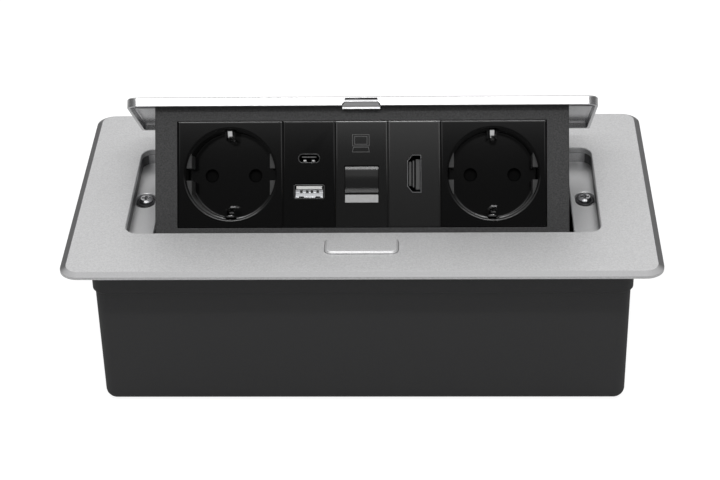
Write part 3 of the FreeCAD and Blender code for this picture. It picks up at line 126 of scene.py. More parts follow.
def carried_round(profile, half_width, half_depth, radius, centre=(0.0, 0.0), steps=14):
    """Section points (inset, height) carried round a rectangle with round corners: each column is
    its corner's centre plus (radius - inset) along the corner's turn. Where the inset is past the
    radius, the corner is a mitre."""
    radius = np.repeat(np.broadcast_to(radius, 4), steps)
    turn = (np.linspace(0, math.pi / 2, steps) + np.arange(4)[:, None] * math.pi / 2).ravel()
    side_x = np.repeat([1, -1, -1, 1], steps)
    side_y = np.repeat([1, 1, -1, -1], steps)
    inset, height = np.asarray(profile, float).T[:, :, None]
    core = np.maximum(radius, inset)
    x = centre[0] + side_x * (half_width - core) + (core - inset) * np.cos(turn)
    y = centre[1] + side_y * (half_depth - core) + (core - inset) * np.sin(turn)
    return np.stack([x, y, np.broadcast_to(height, x.shape)], axis=2)


def turned(profile, radius, centre=(0.0, 0.0), steps=14):
    """Section points (inset, height) carried round a circle, as four round corners that meet."""
    return carried_round(profile, radius, radius, radius, centre, steps)


def oblong(across, along):
    """A rectangle's corners in turn, between two ends across and two ends along."""
    return [(across[0], along[0]), (across[1], along[0]), (across[1], along[1]),
            (across[0], along[1])]


def extruded(outline, start, end, axis=2):
    """A prism: the outline's points at the start and again at the end along the axis."""
    outline = np.asarray(outline, float)
    return np.stack([np.insert(outline, axis, place, axis=1) for place in (start, end)])


def skin(grid, cap_first=False, cap_last=False):
    """Points, four-sided faces and end caps of a surface over a grid. The columns wrap round: each
    face joins a column and the next one in two rows. A cap is the whole first or last row."""
    rows, columns = grid.shape[:2]
    index = np.arange(rows * columns).reshape(rows, columns)
    here = index[:-1]
    over = index[1:]
    quads = np.stack([here, np.roll(here, -1, 1), np.roll(over, -1, 1), over], axis=2)
    caps = []
    if cap_first:
        caps.append(index[0][::-1])
    if cap_last:
        caps.append(index[-1])
    return grid.reshape(-1, 3), quads.reshape(-1, 4), caps


def closed(grid):
    """The skin of a solid: the grid's surface with both of its ends capped."""
    return skin(grid, True, True)


crease = math.radians(28)
weld_gap = 0.0000005


def made_piece(name, skins, material, body, nodes=(), edge=0.0):
    """One object from several skins. Edges that turn by more than a crease stay sharp or are
    rounded off by `edge`, and big flat faces rule the shading beside them."""
    points = []
    faces = []
    start = 0
    for skin_points, quads, caps in skins:
        points.append(skin_points)
        faces += (quads + start).tolist()
        faces += [(cap + start).tolist() for cap in caps]
        start += len(skin_points)
    mesh = bpy.data.meshes.new(name)
    mesh.from_pydata(np.concatenate(points).tolist(), [], faces)
    shape = bmesh.new()
    shape.from_mesh(mesh)
    bmesh.ops.remove_doubles(shape, verts=shape.verts, dist=weld_gap)
    bmesh.ops.recalc_face_normals(shape, faces=shape.faces)
    shape.to_mesh(mesh)
    shape.free()
    mesh.polygons.foreach_set("use_smooth", np.ones(len(mesh.polygons), bool))
    mesh.set_sharp_from_angle(angle=crease)
    mesh.materials.append(material)
    piece = bpy.data.objects.new(name, mesh)
    bpy.context.scene.collection.objects.link(piece)
    if edge:
        round_edges = piece.modifiers.new("round_edges", "BEVEL")
        round_edges.width = edge
        round_edges.segments = 2
        round_edges.limit_method = "ANGLE"
        round_edges.angle_limit = crease
        round_edges.harden_normals = True
    flats = piece.modifiers.new("flat_faces", "WEIGHTED_NORMAL")
    flats.keep_sharp = True
    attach(piece, body)
    if nodes:
        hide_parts(*nodes)
    return piece


def carved(piece, *cutters):
    """Cuts closed grids out of a piece for good, one by one, as a milling cutter would."""
    for grid in cutters:
        metal = piece.data.materials[0]
        tool = made_piece("cutter", [closed(grid)], metal, "housing")
        cut = piece.modifiers.new("cut", "BOOLEAN")
        cut.object = tool
        cut.solver = "EXACT"
        piece.modifiers.move(len(piece.modifiers) - 1, 0)
        for other in piece.modifiers[1:]:
            other.show_viewport = False
        bpy.context.view_layer.update()
        state = bpy.context.evaluated_depsgraph_get()
        result = bpy.data.meshes.new_from_object(piece.evaluated_get(state))
        piece.modifiers.remove(cut)
        for other in piece.modifiers:
            other.show_viewport = True
        piece.data = result
        piece.data.set_sharp_from_angle(angle=crease)
        bpy.data.objects.remove(tool)
    return piece


silver = blasted_metal("anodised_aluminium", (0.69, 0.69, 0.695), 0.42, 1700, metallic=0.45,
                       speckle=0.25)
cut_silver = blasted_metal("cut_aluminium", (0.48, 0.48, 0.485), 0.3, 1700, 0.000001, 0.97, 0.1)
flange_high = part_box("flange_plate")[1]
deck = flange_high.z
flange_half = (flange_high.x, flange_high.y)
flange_thick = 0.0024
flange_corner = 0.008
underside = deck - flange_thick
bevel_run = 0.0024
bevel_drop = 0.0013
bevel_foot = deck - bevel_drop
opening_half = (0.101, 0.03525)
opening_centre = (0.0, -0.0005)
opening_corner = 0.0055
edge_break = 0.0003
flat_run = 0.002
rim = soft_profile([(0, underside), (0, bevel_foot), (bevel_run, deck),
                    (bevel_run + flat_run, deck)], [0.0002, 0.00022])
hole_edge = soft_profile([(-flat_run, deck), (-edge_break, deck), (0, deck - edge_break),
                          (0, underside)], [0.0001, 0.0001], 3)
outside = carried_round(rim, *flange_half, flange_corner)
inside = carried_round(hole_edge, *opening_half, opening_corner, opening_centre)
flange_grid = np.concatenate([outside, inside, outside[:1]])
flange = made_piece("flange", [skin(flange_grid)], silver, "housing",
                    ["flange_plate"])

pad_radius = 0.004
pad_x = 0.06
pad_rows = (-0.04125, 0.04025)
pad_root = underside + 0.0003
pad_foot = deck - 0.0054
pad_line = [(0, pad_root), (0, pad_foot)]
pads = [closed(turned(pad_line, pad_radius, (x, y), 6)) for y in pad_rows for x in (-pad_x, pad_x)]
made_piece("flange_pads", pads, silver, "housing")

cut_proud = 0.00002
cut_sunk = 0.0001
cut_line = [(-cut_proud, bevel_foot - cut_sunk), (-cut_proud, bevel_foot),
            (bevel_run, deck + cut_proud), (bevel_run + 2 * cut_sunk, deck - cut_sunk),
            (2 * cut_sunk, bevel_foot - 3 * cut_sunk), (-cut_proud, bevel_foot - cut_sunk)]
made_piece("flange_bevel", [skin(carried_round(cut_line, *flange_half, flange_corner))],
           cut_silver, "housing")

button_half = (0.01535, 0.0061)
button_corner = 0.003
button_middle = (0.0, -0.0464)
button_gap = 0.0002
slot_half = (button_half[0] + button_gap, button_half[1] + button_gap)
slot_edge = 0.0002
cutter_past = 0.001
slot_line = [(0, underside - cutter_past), (0, deck - slot_edge), (-slot_edge, deck),
             (-slot_edge, deck + cutter_past)]
button_slot = carried_round(slot_line, *slot_half, button_corner + button_gap, button_middle, 8)
nose_half = 0.0078
nose_front = -0.0401
nose_rear = -0.0356
nose_roof = deck - 0.0010
nose_outline = oblong((-nose_half, nose_half), (nose_front, nose_rear))
carved(flange, button_slot, extruded(nose_outline, underside - cutter_past, nose_roof))


# Tray: the liner of the opening, moulded with two ledges beside the module, painted silver and
# screwed to the flange from below. Its two end walls are coloured dark grey, which is painted shade
# from the module beside them, and each ledge has a raised pad with an oval bore for its screw.
node_weld = 0.000002
flat_turn = 0.0003
node_crease = math.radians(32)
rounded_turn = math.radians(35)


def softened(node, material, edge):
    """A copy of a CAD node with its doubles merged, its flat faces whole and its edges rounded."""
    shape = bmesh.new()
    shape.from_mesh(frame["nodes"][node].data)
    bmesh.ops.remove_doubles(shape, verts=shape.verts, dist=node_weld)
    bmesh.ops.dissolve_limit(shape, angle_limit=flat_turn, verts=shape.verts, edges=shape.edges)
    mesh = bpy.data.meshes.new(node + "_finished")
    shape.to_mesh(mesh)
    shape.free()
    if "custom_normal" in mesh.attributes:
        mesh.attributes.remove(mesh.attributes["custom_normal"])
    mesh.polygons.foreach_set("use_smooth", np.ones(len(mesh.polygons), bool))
    mesh.set_sharp_from_angle(angle=node_crease)
    mesh.materials.clear()
    mesh.materials.append(material)
    piece = bpy.data.objects.new(node + "_finished", mesh)
    bpy.context.scene.collection.objects.link(piece)
    round_edges = piece.modifiers.new("round_edges", "BEVEL")
    round_edges.width = edge
    round_edges.segments = 2
    round_edges.limit_method = "ANGLE"
    round_edges.angle_limit = rounded_turn
    round_edges.harden_normals = True
    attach(piece, frame["nodes"][node]["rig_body"])
    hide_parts(node)
    return piece


tray_silver = blasted_metal("tray_silver", (0.66, 0.66, 0.665), 0.38, 2600, metallic=0.7)
# The walls' silver is glossier than the ledges' and also darker; the darker colour is painted
# shade.
wall_silver_and_shade = blasted_metal("tray_wall_silver_and_shade", (0.5, 0.5, 0.505), 0.22, 2600, 0.000003, 0.95)
end_wall_painted_shade = blasted_metal("tray_end_painted_shade", (0.13, 0.13, 0.132), 0.42, 2600, 0.000003, 0.5)
seat = deck - 0.0089
pocket_half = (opening_half[0] + 0.00005, 0.03465)
pocket_corner = 0.0049
pocket_floor = deck - 0.00885
pocket_line = [(0, pocket_floor), (0, deck)]
tray = softened("recess_tray", wall_silver_and_shade, 0.0002)
carved(tray, carried_round(pocket_line, *pocket_half, pocket_corner, opening_centre))
# The end walls that face inwards get a dark grey: painted shade, because the module keeps the light
# off them.
tray.data.materials.append(end_wall_painted_shade)
walls = np.zeros((2, len(tray.data.polygons) * 3))
tray.data.polygons.foreach_get("center", walls[0])
tray.data.polygons.foreach_get("normal", walls[1])
centres, normals = walls.reshape(2, -1, 3)
end_wall_x = 0.098
faces_inwards = -np.sign(centres[:, 0]) * normals[:, 0] > 0.5
painted_shade_faces = faces_inwards & (abs(centres[:, 0]) > end_wall_x) & (centres[:, 2] > seat)
tray.data.polygons.foreach_set("material_index", painted_shade_faces.astype(int))

ledge_top = deck - 0.0070
ledge_half = (0.0055, 0.0352)
ledge_corner = 0.0006
ledge_x = 0.09575
ledge_edge = 0.0003
ledge_root = seat + 0.0001
ledge_line = soft_profile([(0, ledge_root), (0, ledge_top - ledge_edge),
                           (ledge_edge, ledge_top)], [0.0001], 3)
screw_x = 0.0967
screw_y = 0.0043
bore_half = (0.0043, 0.0060)
bore_y = 0.0020
bore_edge = 0.0002
bore_line = [(0, seat), (0, ledge_top - bore_edge), (-bore_edge, ledge_top),
             (-bore_edge, ledge_top + cutter_past)]
for way in (-1, 1):
    ledge_middle = (way * ledge_x, opening_centre[1])
    ledge_grid = carried_round(ledge_line, *ledge_half, ledge_corner, ledge_middle, 4)
    ledge = made_piece("tray_ledge", [closed(ledge_grid)], tray_silver, "housing")
    carved(ledge, carried_round(bore_line, *bore_half, bore_half[0], (way * screw_x, bore_y), 10))


# Box: moulded in black plastic with a fine spark texture. It hangs under the flange, with a thick
# band at its top, and is screwed up into the tray's ledges. Rubber bushes line its cable holes.
def moulded(name, colour, roughness, grain, depth=0.00002, specular=0.3, speckle=0.12):
    """Moulded plastic: spark texture as noise in height, with a trace of it in the colour."""
    material = grained(name, colour, grain, 4.0, depth, speckle)
    shader = material.node_tree.nodes["Principled BSDF"]
    shader.inputs["Specular IOR Level"].default_value = specular
    shader.inputs["Roughness"].default_value = roughness
    return material


def coat(material, *nodes):
    """Gives CAD nodes a material in every slot."""
    for node in nodes:
        mesh = frame["nodes"][node].data
        mesh.materials.clear()
        mesh.materials.append(material)


box_black = moulded("box_plastic", (0.042, 0.042, 0.043), 0.55, 1500)
rubber = moulded("black_rubber", (0.022, 0.022, 0.022), 0.7, 1100, specular=0.2)
softened("housing_box", box_black, 0.0002)
coat(rubber, "mains_grommet", "data_grommet")


# Screws: the tray's pan-head screws in bright plated steel with a cross recess, each on a dark
# ring in its bore that is painted shade, and the small zinc-plated screws that don't show.
bright_steel = blasted_metal("bright_steel", (0.8, 0.8, 0.8), 0.14, 900, 0.000004, 1.0)
zinc_steel = blasted_metal("zinc_steel", (0.62, 0.63, 0.65), 0.3, 700, 0.000006, 1.0)
screw_steel = blasted_metal("screw_steel", (0.46, 0.46, 0.47), 0.2, 900, 0.000004, 1.0)
# The dark ring under each screw head is painted shade in its bore.
painted_shade_ring_metal = blasted_metal("painted_shade_ring_metal", (0.13, 0.13, 0.135), 0.3, 900, 0.000004, 1.0)
softened("tray_screws", screw_steel, 0.00015)
shade_ring_radius = 0.0042
shade_ring_wide = 0.0026
shade_ring_low = seat + 0.00002
shade_ring_high = seat + 0.0004
shade_ring_line = soft_profile([(shade_ring_wide, shade_ring_low), (0, shade_ring_low), (0, shade_ring_high),
                            (shade_ring_wide, shade_ring_high)], [0.0001, 0.0001], 3)
shade_ring_line = np.concatenate([shade_ring_line, shade_ring_line[:1]])
painted_shade_rings = [skin(turned(shade_ring_line, shade_ring_radius, (way * screw_x, screw_y), 8))
           for way in (-1, 1)]
made_piece("screw_painted_shade_rings", painted_shade_rings, painted_shade_ring_metal, "housing")
coat(zinc_steel, "flange_screws", "clamp_screws", "damper_screws", "lid_screws", "arm_screws")


# Hinge parts under the tray: stamped brackets and arms, turned pins, wound springs, and the
# moulded bushes, stops, damper, clamp and latch guide. None is painted, and little of them shows.
spring_steel = blasted_metal("spring_steel", (0.5, 0.5, 0.52), 0.28, 700, 0.000006, 1.0)
inner_black = moulded("inner_plastic", (0.03, 0.03, 0.03), 0.45, 1300)
coat(zinc_steel, "pivot_pins", "pivot_bracket_left", "pivot_bracket_right", "end_arm_left",
     "end_arm_right")
coat(spring_steel, "pin_clips", "torsion_springs", "button_springs", "latch_slider")
coat(inner_black, "pivot_bushes", "open_stops", "damper_body", "damper_pinion", "cord_clamp",
     "latch_guide")


# Button: an aluminium cap in the flange's finish, a little proud of it, with a bevel all round.
# Its moulded lugs and stem run in the guide below.
button_top = deck + 0.00102
button_bevel = 0.00075
button_foot = deck - 0.0036
cap_half = (button_half[0] + 0.00002, button_half[1] + 0.00002)
cap_flat = 0.001
cap_line = soft_profile([(0, button_foot), (0, button_top - button_bevel),
                         (button_bevel, button_top), (button_bevel + cap_flat, button_top)],
                        [0.00012, 0.00012])
cap = carried_round(cap_line, *cap_half, button_corner, button_middle, 10)
made_piece("button_cap", [closed(cap)], silver, "push_button")
coat(silver, "push_button")


# Lid: an aluminium tray, upside down, that stands open along the module's top. Its front face has
# the notch of the strike, and a rib crosses its hollow side at each end. The module, and the lid
# with it, has a little side play on its pins.
opened_turn = math.radians(-41)
pivot = np.array((0, 0.0444, deck - 0.0243))


def opened(grid):
    """Points of the shut module turned about the pivot, in its side plane, to its open rest."""
    from_pivot = np.asarray(grid) - pivot
    y = from_pivot[..., 1] * math.cos(opened_turn) - from_pivot[..., 2] * math.sin(opened_turn)
    z = from_pivot[..., 1] * math.sin(opened_turn) + from_pivot[..., 2] * math.cos(opened_turn)
    return pivot + np.stack([from_pivot[..., 0], y, z], axis=-1)


def flipped(span, way):
    """Two ends, low to high, on the side that `way` gives: -1 turns them over."""
    return sorted((way * span[0], way * span[1]))


lid_silver = blasted_metal("lid_aluminium", (0.6, 0.6, 0.605), 0.24, 1700, metallic=0.92,
                           speckle=0.2)
module_play = -0.00045
lid_half = (0.10065, 0.026)
lid_front = -0.03505
lid_middle = (-0.0003, lid_front + lid_half[1])
lid_top = deck - 0.0004
lid_under = deck - 0.0044
lid_corners = np.array((0.001, 0.001, 0.005, 0.005))
lid_edge = 0.00035
lip_flat = 0.0005
lid_side = soft_profile([(lip_flat, lid_under), (0, lid_under), (0, lid_top - lid_edge),
                         (lid_edge, lid_top), (flat_run, lid_top)], [0.0002, 0.00015, 0.00015])
lid_outer = carried_round(lid_side, *lid_half, lid_corners, lid_middle)
lid_wall = 0.0013
hollow_half = (lid_half[0] - lid_wall, lid_half[1] - lid_wall)
hollow_top = deck - 0.0015
hollow_corners = np.array((0.0012, 0.0012, 0.0037, 0.0037))
hollow_flat = 0.0012
hollow_side = soft_profile([(hollow_flat, hollow_top), (0, hollow_top), (0, lid_under),
                            (-lip_flat, lid_under)], [0.0008, 0.0002])
lid_inner = carried_round(hollow_side, *hollow_half, hollow_corners, lid_middle)
lid_grid = opened(np.concatenate([lid_inner, lid_outer]))
lid = made_piece("lid_shell", [closed(lid_grid)], lid_silver, "popup_module",
                 ["lid"])

notch_half = 0.007
notch_wide = 0.0081
notch_top = deck - 0.00104
notch_flare = (deck - 0.0026, deck - 0.0036)
notch_foot = deck - 0.006
notch_outline = [(-notch_wide, notch_foot), (notch_wide, notch_foot),
                 (notch_wide, notch_flare[1]), (notch_half, notch_flare[0]),
                 (notch_half, notch_top), (-notch_half, notch_top),
                 (-notch_half, notch_flare[0]), (-notch_wide, notch_flare[1])]
notch_deep = 0.0019
notch = extruded(notch_outline, lid_front - cutter_past, lid_front + notch_deep, 1)
notch = notch + (module_play, 0, 0)
carved(lid, opened(notch))

rib_ends = (0.0885, 0.0992)
rib_y = lid_front + 0.015
rib_half = 0.0005
rib_low = hollow_top - 0.0008
rib_root = hollow_top + 0.0002
rib_line = [(rib_y - rib_half, rib_root), (rib_y - rib_half, rib_low),
            (rib_y + rib_half, rib_low), (rib_y + rib_half, rib_root)]
ribs = [closed(opened(extruded(rib_line, *flipped(rib_ends, way), 0))) for way in (-1, 1)]
made_piece("lid_ribs", ribs, lid_silver, "popup_module", edge=0.0002)


# Strike: a zinc-plated plate behind the lid's notch. Its flat catches the latch's nose, and the
# ramp at its foot pushes the nose back as the lid shuts.
strike_steel = blasted_metal("strike_steel", (0.5, 0.5, 0.51), 0.3, 700, 0.000006, 1.0)
strike_top = deck - 0.0016
strike_step = deck - 0.0028
ramp_foot = deck - 0.0044
strike_foot = deck - 0.0056
strike_back = lid_front + 0.0034
strike_front = lid_front + 0.0004
strike_nose = lid_front + 0.0002
ramp_back = lid_front + 0.0016
strike_line = soft_profile([(strike_back, strike_top), (strike_front, strike_top),
                            (strike_nose, strike_step), (ramp_back, ramp_foot),
                            (ramp_back, strike_foot), (strike_back, strike_foot)],
                           [0.0003, 0.0004, 0.0004, 0.0001])
flare = np.interp(strike_line[:, 1], (ramp_foot, strike_step), (notch_wide, notch_half))
strike_grid = np.stack([np.column_stack([side * flare + module_play, strike_line])
                        for side in (-1, 1)])
made_piece("strike_plate", [closed(opened(strike_grid))], strike_steel, "popup_module",
           ["latch_strike"], 0.00012)


# Face frame and shell: the raked face, moulded in black with a fine spark texture, and the bent
# back that closes the module behind it. The face has a cut at its top for the strike's foot.
face_rise = math.radians(57)
face_middle = np.array((module_play, -0.01464, deck + 0.016263))
face_axes = np.array(((1, 0, 0), (0, math.cos(face_rise), math.sin(face_rise)),
                      (0, -math.sin(face_rise), math.cos(face_rise))))


def on_face(grid, across=0.0):
    """Points given across the module's face, up it and out of it: the face's middle plus each of
    the three times its own axis."""
    return face_middle + (np.asarray(grid, float) + (across, 0, 0)) @ face_axes


def slab(across, up, out):
    """A block between the given ends across, up and out of the face."""
    return extruded(oblong(across, up), *out)


frame_black = moulded("frame_plastic", (0.058, 0.058, 0.059), 0.5, 1700, speckle=0.9)
frame_half = 0.0885
frame_low = -0.02895
frame_high = 0.030671
frame_back = -0.0025
frame_edge = 0.0003
window_half = 0.079
window_low = -0.02303
window_high = 0.02273
window_edge = 0.00015
frame_corner = 0.0006
frame_flat = 0.001
window_corner = 0.0003
frame_line = soft_profile([(0, frame_back), (0, -frame_edge), (frame_edge, 0), (frame_flat, 0)],
                          [0.0001, 0.0001], 3)
window_line = soft_profile([(-frame_flat, 0), (-window_edge, 0), (0, -window_edge),
                            (0, frame_back)], [0.00005, 0.00005], 3)
frame_outer = carried_round(frame_line, frame_half, (frame_high - frame_low) / 2, frame_corner,
                            (0, (frame_high + frame_low) / 2), 4)
frame_inner = carried_round(window_line, window_half, (window_high - window_low) / 2,
                            window_corner, (0, (window_high + window_low) / 2), 4)
frame_grid = np.concatenate([frame_outer, frame_inner, frame_outer[:1]])
face_plate = made_piece("face_plate", [skin(on_face(frame_grid))], frame_black, "popup_module",
                        ["face_frame"])
relief_half = 0.0085
relief_up = (frame_high - 0.003, frame_high + cutter_past)
relief_out = (-0.004, cutter_past)
strike_relief = slab((-relief_half, relief_half), relief_up, relief_out)
carved(face_plate, on_face(strike_relief))
softened("module_shell", frame_black, 0.0002)


# Sockets: each insert is moulded in glossy black with a round well. Four matt keys and two earth
# springs guide the plug, and a sprung disc shades the pin holes in the floor. The springs are bent
# from bright strip and held in the wall between two cheeks.
insert_black = moulded("insert_plastic", (0.0015, 0.0015, 0.0016), 0.1, 600, 0.000001, 0.38)
key_black = moulded("key_plastic", (0.06, 0.06, 0.06), 0.6, 1300, speckle=0.3)
shutter_black = moulded("shutter_plastic", (0.003, 0.003, 0.003), 0.5, 1300, specular=0.05)
brass = blasted_metal("brass", (0.78, 0.57, 0.25), 0.25, 700, 0.000006, 1.0)
socket_places = {"left": -0.05625, "right": 0.05625}
socket_half = 0.02244
insert_half = (window_high - window_low) / 2 - 0.00012
insert_up = (window_high + window_low) / 2
insert_face = -0.00035
insert_back = -0.0045
insert_corner = 0.0003
insert_bevel = 0.0007
insert_flat = 0.0002
bevel_lean = 0.00016
insert_line = soft_profile([(0, insert_back), (0, insert_face - bevel_lean),
                            (insert_bevel, insert_face), (insert_bevel + insert_flat, insert_face)],
                           [0.0001, 0.0001], 4)
well_mouth = 0.02005
well_floor = -0.0175
well_ledge = -0.0025
mouth_wall = 0.0003
well_wall = 0.0013
well_line = soft_profile([(-mouth_wall, insert_face), (-0.0001, insert_face),
                          (mouth_wall, insert_face - 0.00009), (mouth_wall, well_ledge),
                          (0.0008, well_ledge), (well_wall, well_ledge - 0.00012),
                          (well_wall, well_floor), (0.003, well_floor)],
                         [0.00005, 0.0001, 0.0001, 0.00005, 0.0001, 0.0006])
barrel = 0.0213
barrel_wall = 0.0012
barrel_floor = -0.0195
barrel_back = -0.025
barrel_line = [(barrel_wall, barrel_floor), (barrel_wall, barrel_back), (0, barrel_back),
               (0, insert_back)]
socket_steps = 24
socket_grid = np.concatenate([
    turned(barrel_line, barrel, steps=socket_steps),
    carried_round(insert_line, socket_half, insert_half, insert_corner, (0, insert_up),
                  socket_steps),
    turned(well_line, well_mouth, steps=socket_steps)])
pin_x = 0.0095
pin_hole = 0.00265
pin_edge = 0.00035
pin_back = -0.021
pin_throat = -0.0178
pin_mouth = -0.0174
pin_front = -0.0170
pin_line = [(0, pin_back), (0, pin_throat), (-pin_edge, pin_mouth), (-pin_edge, pin_front)]
notch_across = (0.0165, 0.0193)
notch_up = (-0.0026, 0.0026)
notch_out = (-0.0172, 0.0)
gap_across = (-0.0023, 0.0023)
gap_up = (0.0152, 0.0193)
gap_out = (-0.0172, -0.0009)
key_near = 0.0168
key_far = 0.0193
key_low = 0.0026
key_high = 0.0089
key_foot = -0.0174
key_top = -0.00235
key_turn = np.linspace(math.asin(key_low / key_far), math.asin(key_high / key_far), 8)
key_arc = np.stack([np.cos(key_turn), np.sin(key_turn)], axis=1) * key_far
key_outline = np.concatenate([[(key_near, key_high), (key_near, key_low)], key_arc])
clip_play = -0.0004
clip_width = 0.002
clip_thick = 0.0006
clip_out = (key_foot, -0.0042)
clip_head_half = 0.0021
clip_head_up = (-0.0184, -0.0177)
clip_head = slab((-clip_head_half, clip_head_half), clip_head_up, clip_out)
cheek_across = (0.0014, 0.0023)
cheek_up = (0.0150, 0.0186)
clip_paths = {1: [(0.0188, -0.0036), (0.0184, -0.0038), (0.0161, -0.0053), (0.0157, -0.0059),
                  (0.0148, -0.0085), (0.0146, -0.0110), (0.0152, -0.0140), (0.0166, -0.0176)],
              -1: [(-0.0179, -0.0048), (-0.0152, -0.0086), (-0.0146, -0.0096),
                   (-0.0144, -0.0110), (-0.0152, -0.0140), (-0.0166, -0.0176)]}


def ribbon(path, width, thick):
    """A strip bent along a path in the up-out plane: at each point, half its width to both sides
    and half its thickness along the path's normal both ways."""
    path = np.asarray(path, float)
    along = np.gradient(path, axis=0)
    along = along / np.linalg.norm(along, axis=1, keepdims=True)
    normal = np.stack([-along[:, 1], along[:, 0]], axis=1)
    rims = []
    for across, out in ((-0.5, -0.5), (0.5, -0.5), (0.5, 0.5), (-0.5, 0.5)):
        rims.append(np.column_stack([np.full(len(path), across * width),
                                     path + out * thick * normal]))
    return np.stack(rims, axis=1)


def face_piece(name, grids, across, material, nodes=(), edge=0.0, body="popup_module"):
    """One object from closed grids on the module's face, all shifted across it."""
    skins = [closed(on_face(grid, across)) for grid in grids]
    return made_piece(name, skins, material, body, nodes, edge)


for side, across in socket_places.items():
    socket = face_piece("socket_" + side, [socket_grid], across, insert_black,
                        ["socket_insert_" + side])
    for way in (-1, 1):
        pin_bore = turned(pin_line, pin_hole, (way * pin_x, 0), 10)
        side_notch = slab(flipped(notch_across, way), notch_up, notch_out)
        clip_gap = slab(gap_across, flipped(gap_up, way), gap_out)
        carved(socket, *(on_face(grid, across) for grid in (pin_bore, side_notch, clip_gap)))
    keys = [extruded(key_outline * (way_x, way_y), key_foot, key_top)
            for way_x in (-1, 1) for way_y in (-1, 1)]
    keys.append(clip_head + (clip_play, 0, 0))
    face_piece("socket_keys_" + side, keys, across, key_black, edge=0.0003)
    cheeks = [slab(flipped(cheek_across, cheek), flipped(cheek_up, way), clip_out)
              for way in (-1, 1) for cheek in (-1, 1)]
    face_piece("clip_cheeks_" + side, cheeks, across + clip_play, insert_black,
               edge=0.0002)
    springs = [ribbon(clip_paths[way], clip_width, clip_thick) for way in (-1, 1)]
    face_piece("earth_springs_" + side, springs, across + clip_play, bright_steel,
               edge=0.0001)
    coat(shutter_black, "socket_shutter_" + side)
    coat(inner_black, "socket_base_" + side)
coat(bright_steel, "earth_clips")
coat(brass, "contact_tubes", "live_busbar", "neutral_busbar", "earth_busbar")


# Charging insert: a glossy plate with a small and a large charging port. Each is a folded steel
# shell with a tongue inside, soldered to the board behind. The large port also has a sprung leaf
# with two slots, and four contacts under its white tongue.
# The shells' steel is a dark grey, far darker than plated steel: painted shade on shells that sit
# back in their holes.
shell_steel_painted_shade = blasted_metal("shell_steel_painted_shade", (0.2, 0.2, 0.202), 0.3, 900, 0.000004, 1.0)
port_painted_shade = moulded("port_painted_shade", (0.006, 0.006, 0.006), 0.6, 900)
spring_painted_highlight = moulded("spring_painted_highlight", (0.8, 0.8, 0.8), 0.35, 900, specular=0.8)
tongue_white = moulded("tongue_white", (0.85, 0.85, 0.84), 0.4, 900)
tongue_grey = moulded("tongue_grey", (0.16, 0.16, 0.16), 0.4, 900)
contact_painted_shade = moulded("contact_painted_shade", (0.04, 0.04, 0.04), 0.6, 900)
board_green = moulded("circuit_board", (0.02, 0.09, 0.04), 0.4, 900)
charge_across = -0.0225
narrow_half = 0.01119
plate_grid = carried_round(insert_line, narrow_half, insert_half, insert_corner,
                           (0, insert_up), 4)
charge_plate = face_piece("charging_plate", [plate_grid], charge_across, insert_black,
                          ["usb_face"])
small_half = (0.00475, 0.00205)
small_up = 0.0067
large_half = (0.00675, 0.0032)
large_corner = 0.0011
large_up = -0.0075
port_edge = 0.00015
port_steps = 8
through = [(0, insert_back - cutter_past), (0, insert_face - 0.0001),
           (-port_edge, insert_face + 0.00002), (-port_edge, cutter_past)]
small_hole = carried_round(through, *small_half, small_half[1], (0, small_up), port_steps)
large_hole = carried_round(through, *large_half, large_corner, (0, large_up), 6)
carved(charge_plate, on_face(small_hole, charge_across), on_face(large_hole, charge_across))


shell_back = -0.018


def port_shell(half, corner, up, wall, front, depth):
    """A folded tube: its section goes up the outside, over the lip, rounded by 0.4 of the wall,
    and down the inside, and is carried round the port's outline."""
    lip = 0.4 * wall
    line = soft_profile([(0, shell_back), (0, front), (wall, front), (wall, -depth)], [lip, lip], 4)
    return carried_round(line, *half, corner, (0, up), port_steps)


small_shell_half = (0.00465, 0.00195)
small_shell = port_shell(small_shell_half, small_shell_half[1], small_up, 0.0002, -0.0007, 0.009)
large_shell = port_shell((0.0066, 0.003), 0.0009, large_up, 0.0003, -0.0009, 0.012)
made_piece("small_port", [skin(on_face(small_shell, charge_across))], shell_steel_painted_shade,
           "popup_module", ["usb_c_shell"])
made_piece("large_port", [skin(on_face(large_shell, charge_across))], shell_steel_painted_shade,
           "popup_module", ["usb_a_shell"])
shade_sheet_in = 0.00035
shade_sheet_back = -0.017
shade_sheet_line = [(shade_sheet_in, shade_sheet_back), (shade_sheet_in, -0.0016), (0.0005, -0.0015),
               (0.0006, shade_sheet_back)]
shade_sheet = carried_round(shade_sheet_line, *small_shell_half, small_shell_half[1], (0, small_up),
                       port_steps)
# A near-black sheet inside the small port's shell is painted shade in the port.
made_piece("small_shade_sheet", [skin(on_face(shade_sheet, charge_across), False, True)], port_painted_shade,
           "popup_module")

bump_half = (0.0007, 0.00045)
bump_corner = 0.0004
bump_x = 0.0018
bump_up = small_up - 0.00105
bump_line = soft_profile([(0, -0.0032), (0, -0.0014), (0.0006, -0.0009), (0.0007, -0.0009)],
                         [0.0003, 0.0002], 4)
bumps = [carried_round(bump_line, *bump_half, bump_corner, (way * bump_x, bump_up), 4)
         for way in (-1, 1)]
# The small port's two spring bumps are near-white plastic: painted highlights on their steel.
face_piece("small_port_springs", bumps, charge_across, spring_painted_highlight)
small_tongue_half = 0.0031
small_tongue_up = (small_up + 0.00035, small_up + 0.0008)
small_tongue = slab((-small_tongue_half, small_tongue_half), small_tongue_up, (-0.010, -0.0013))
face_piece("small_tongue", [small_tongue], charge_across, tongue_grey,
           ["usb_c_tongue"], 0.0001)
large_tongue_half = 0.0055
large_tongue_up = (-0.0065, -0.0051)
large_tongue = slab((-large_tongue_half, large_tongue_half), large_tongue_up, (-0.015, -0.0012))
face_piece("large_tongue", [large_tongue], charge_across, tongue_white,
           ["usb_a_tongue"], 0.00015)

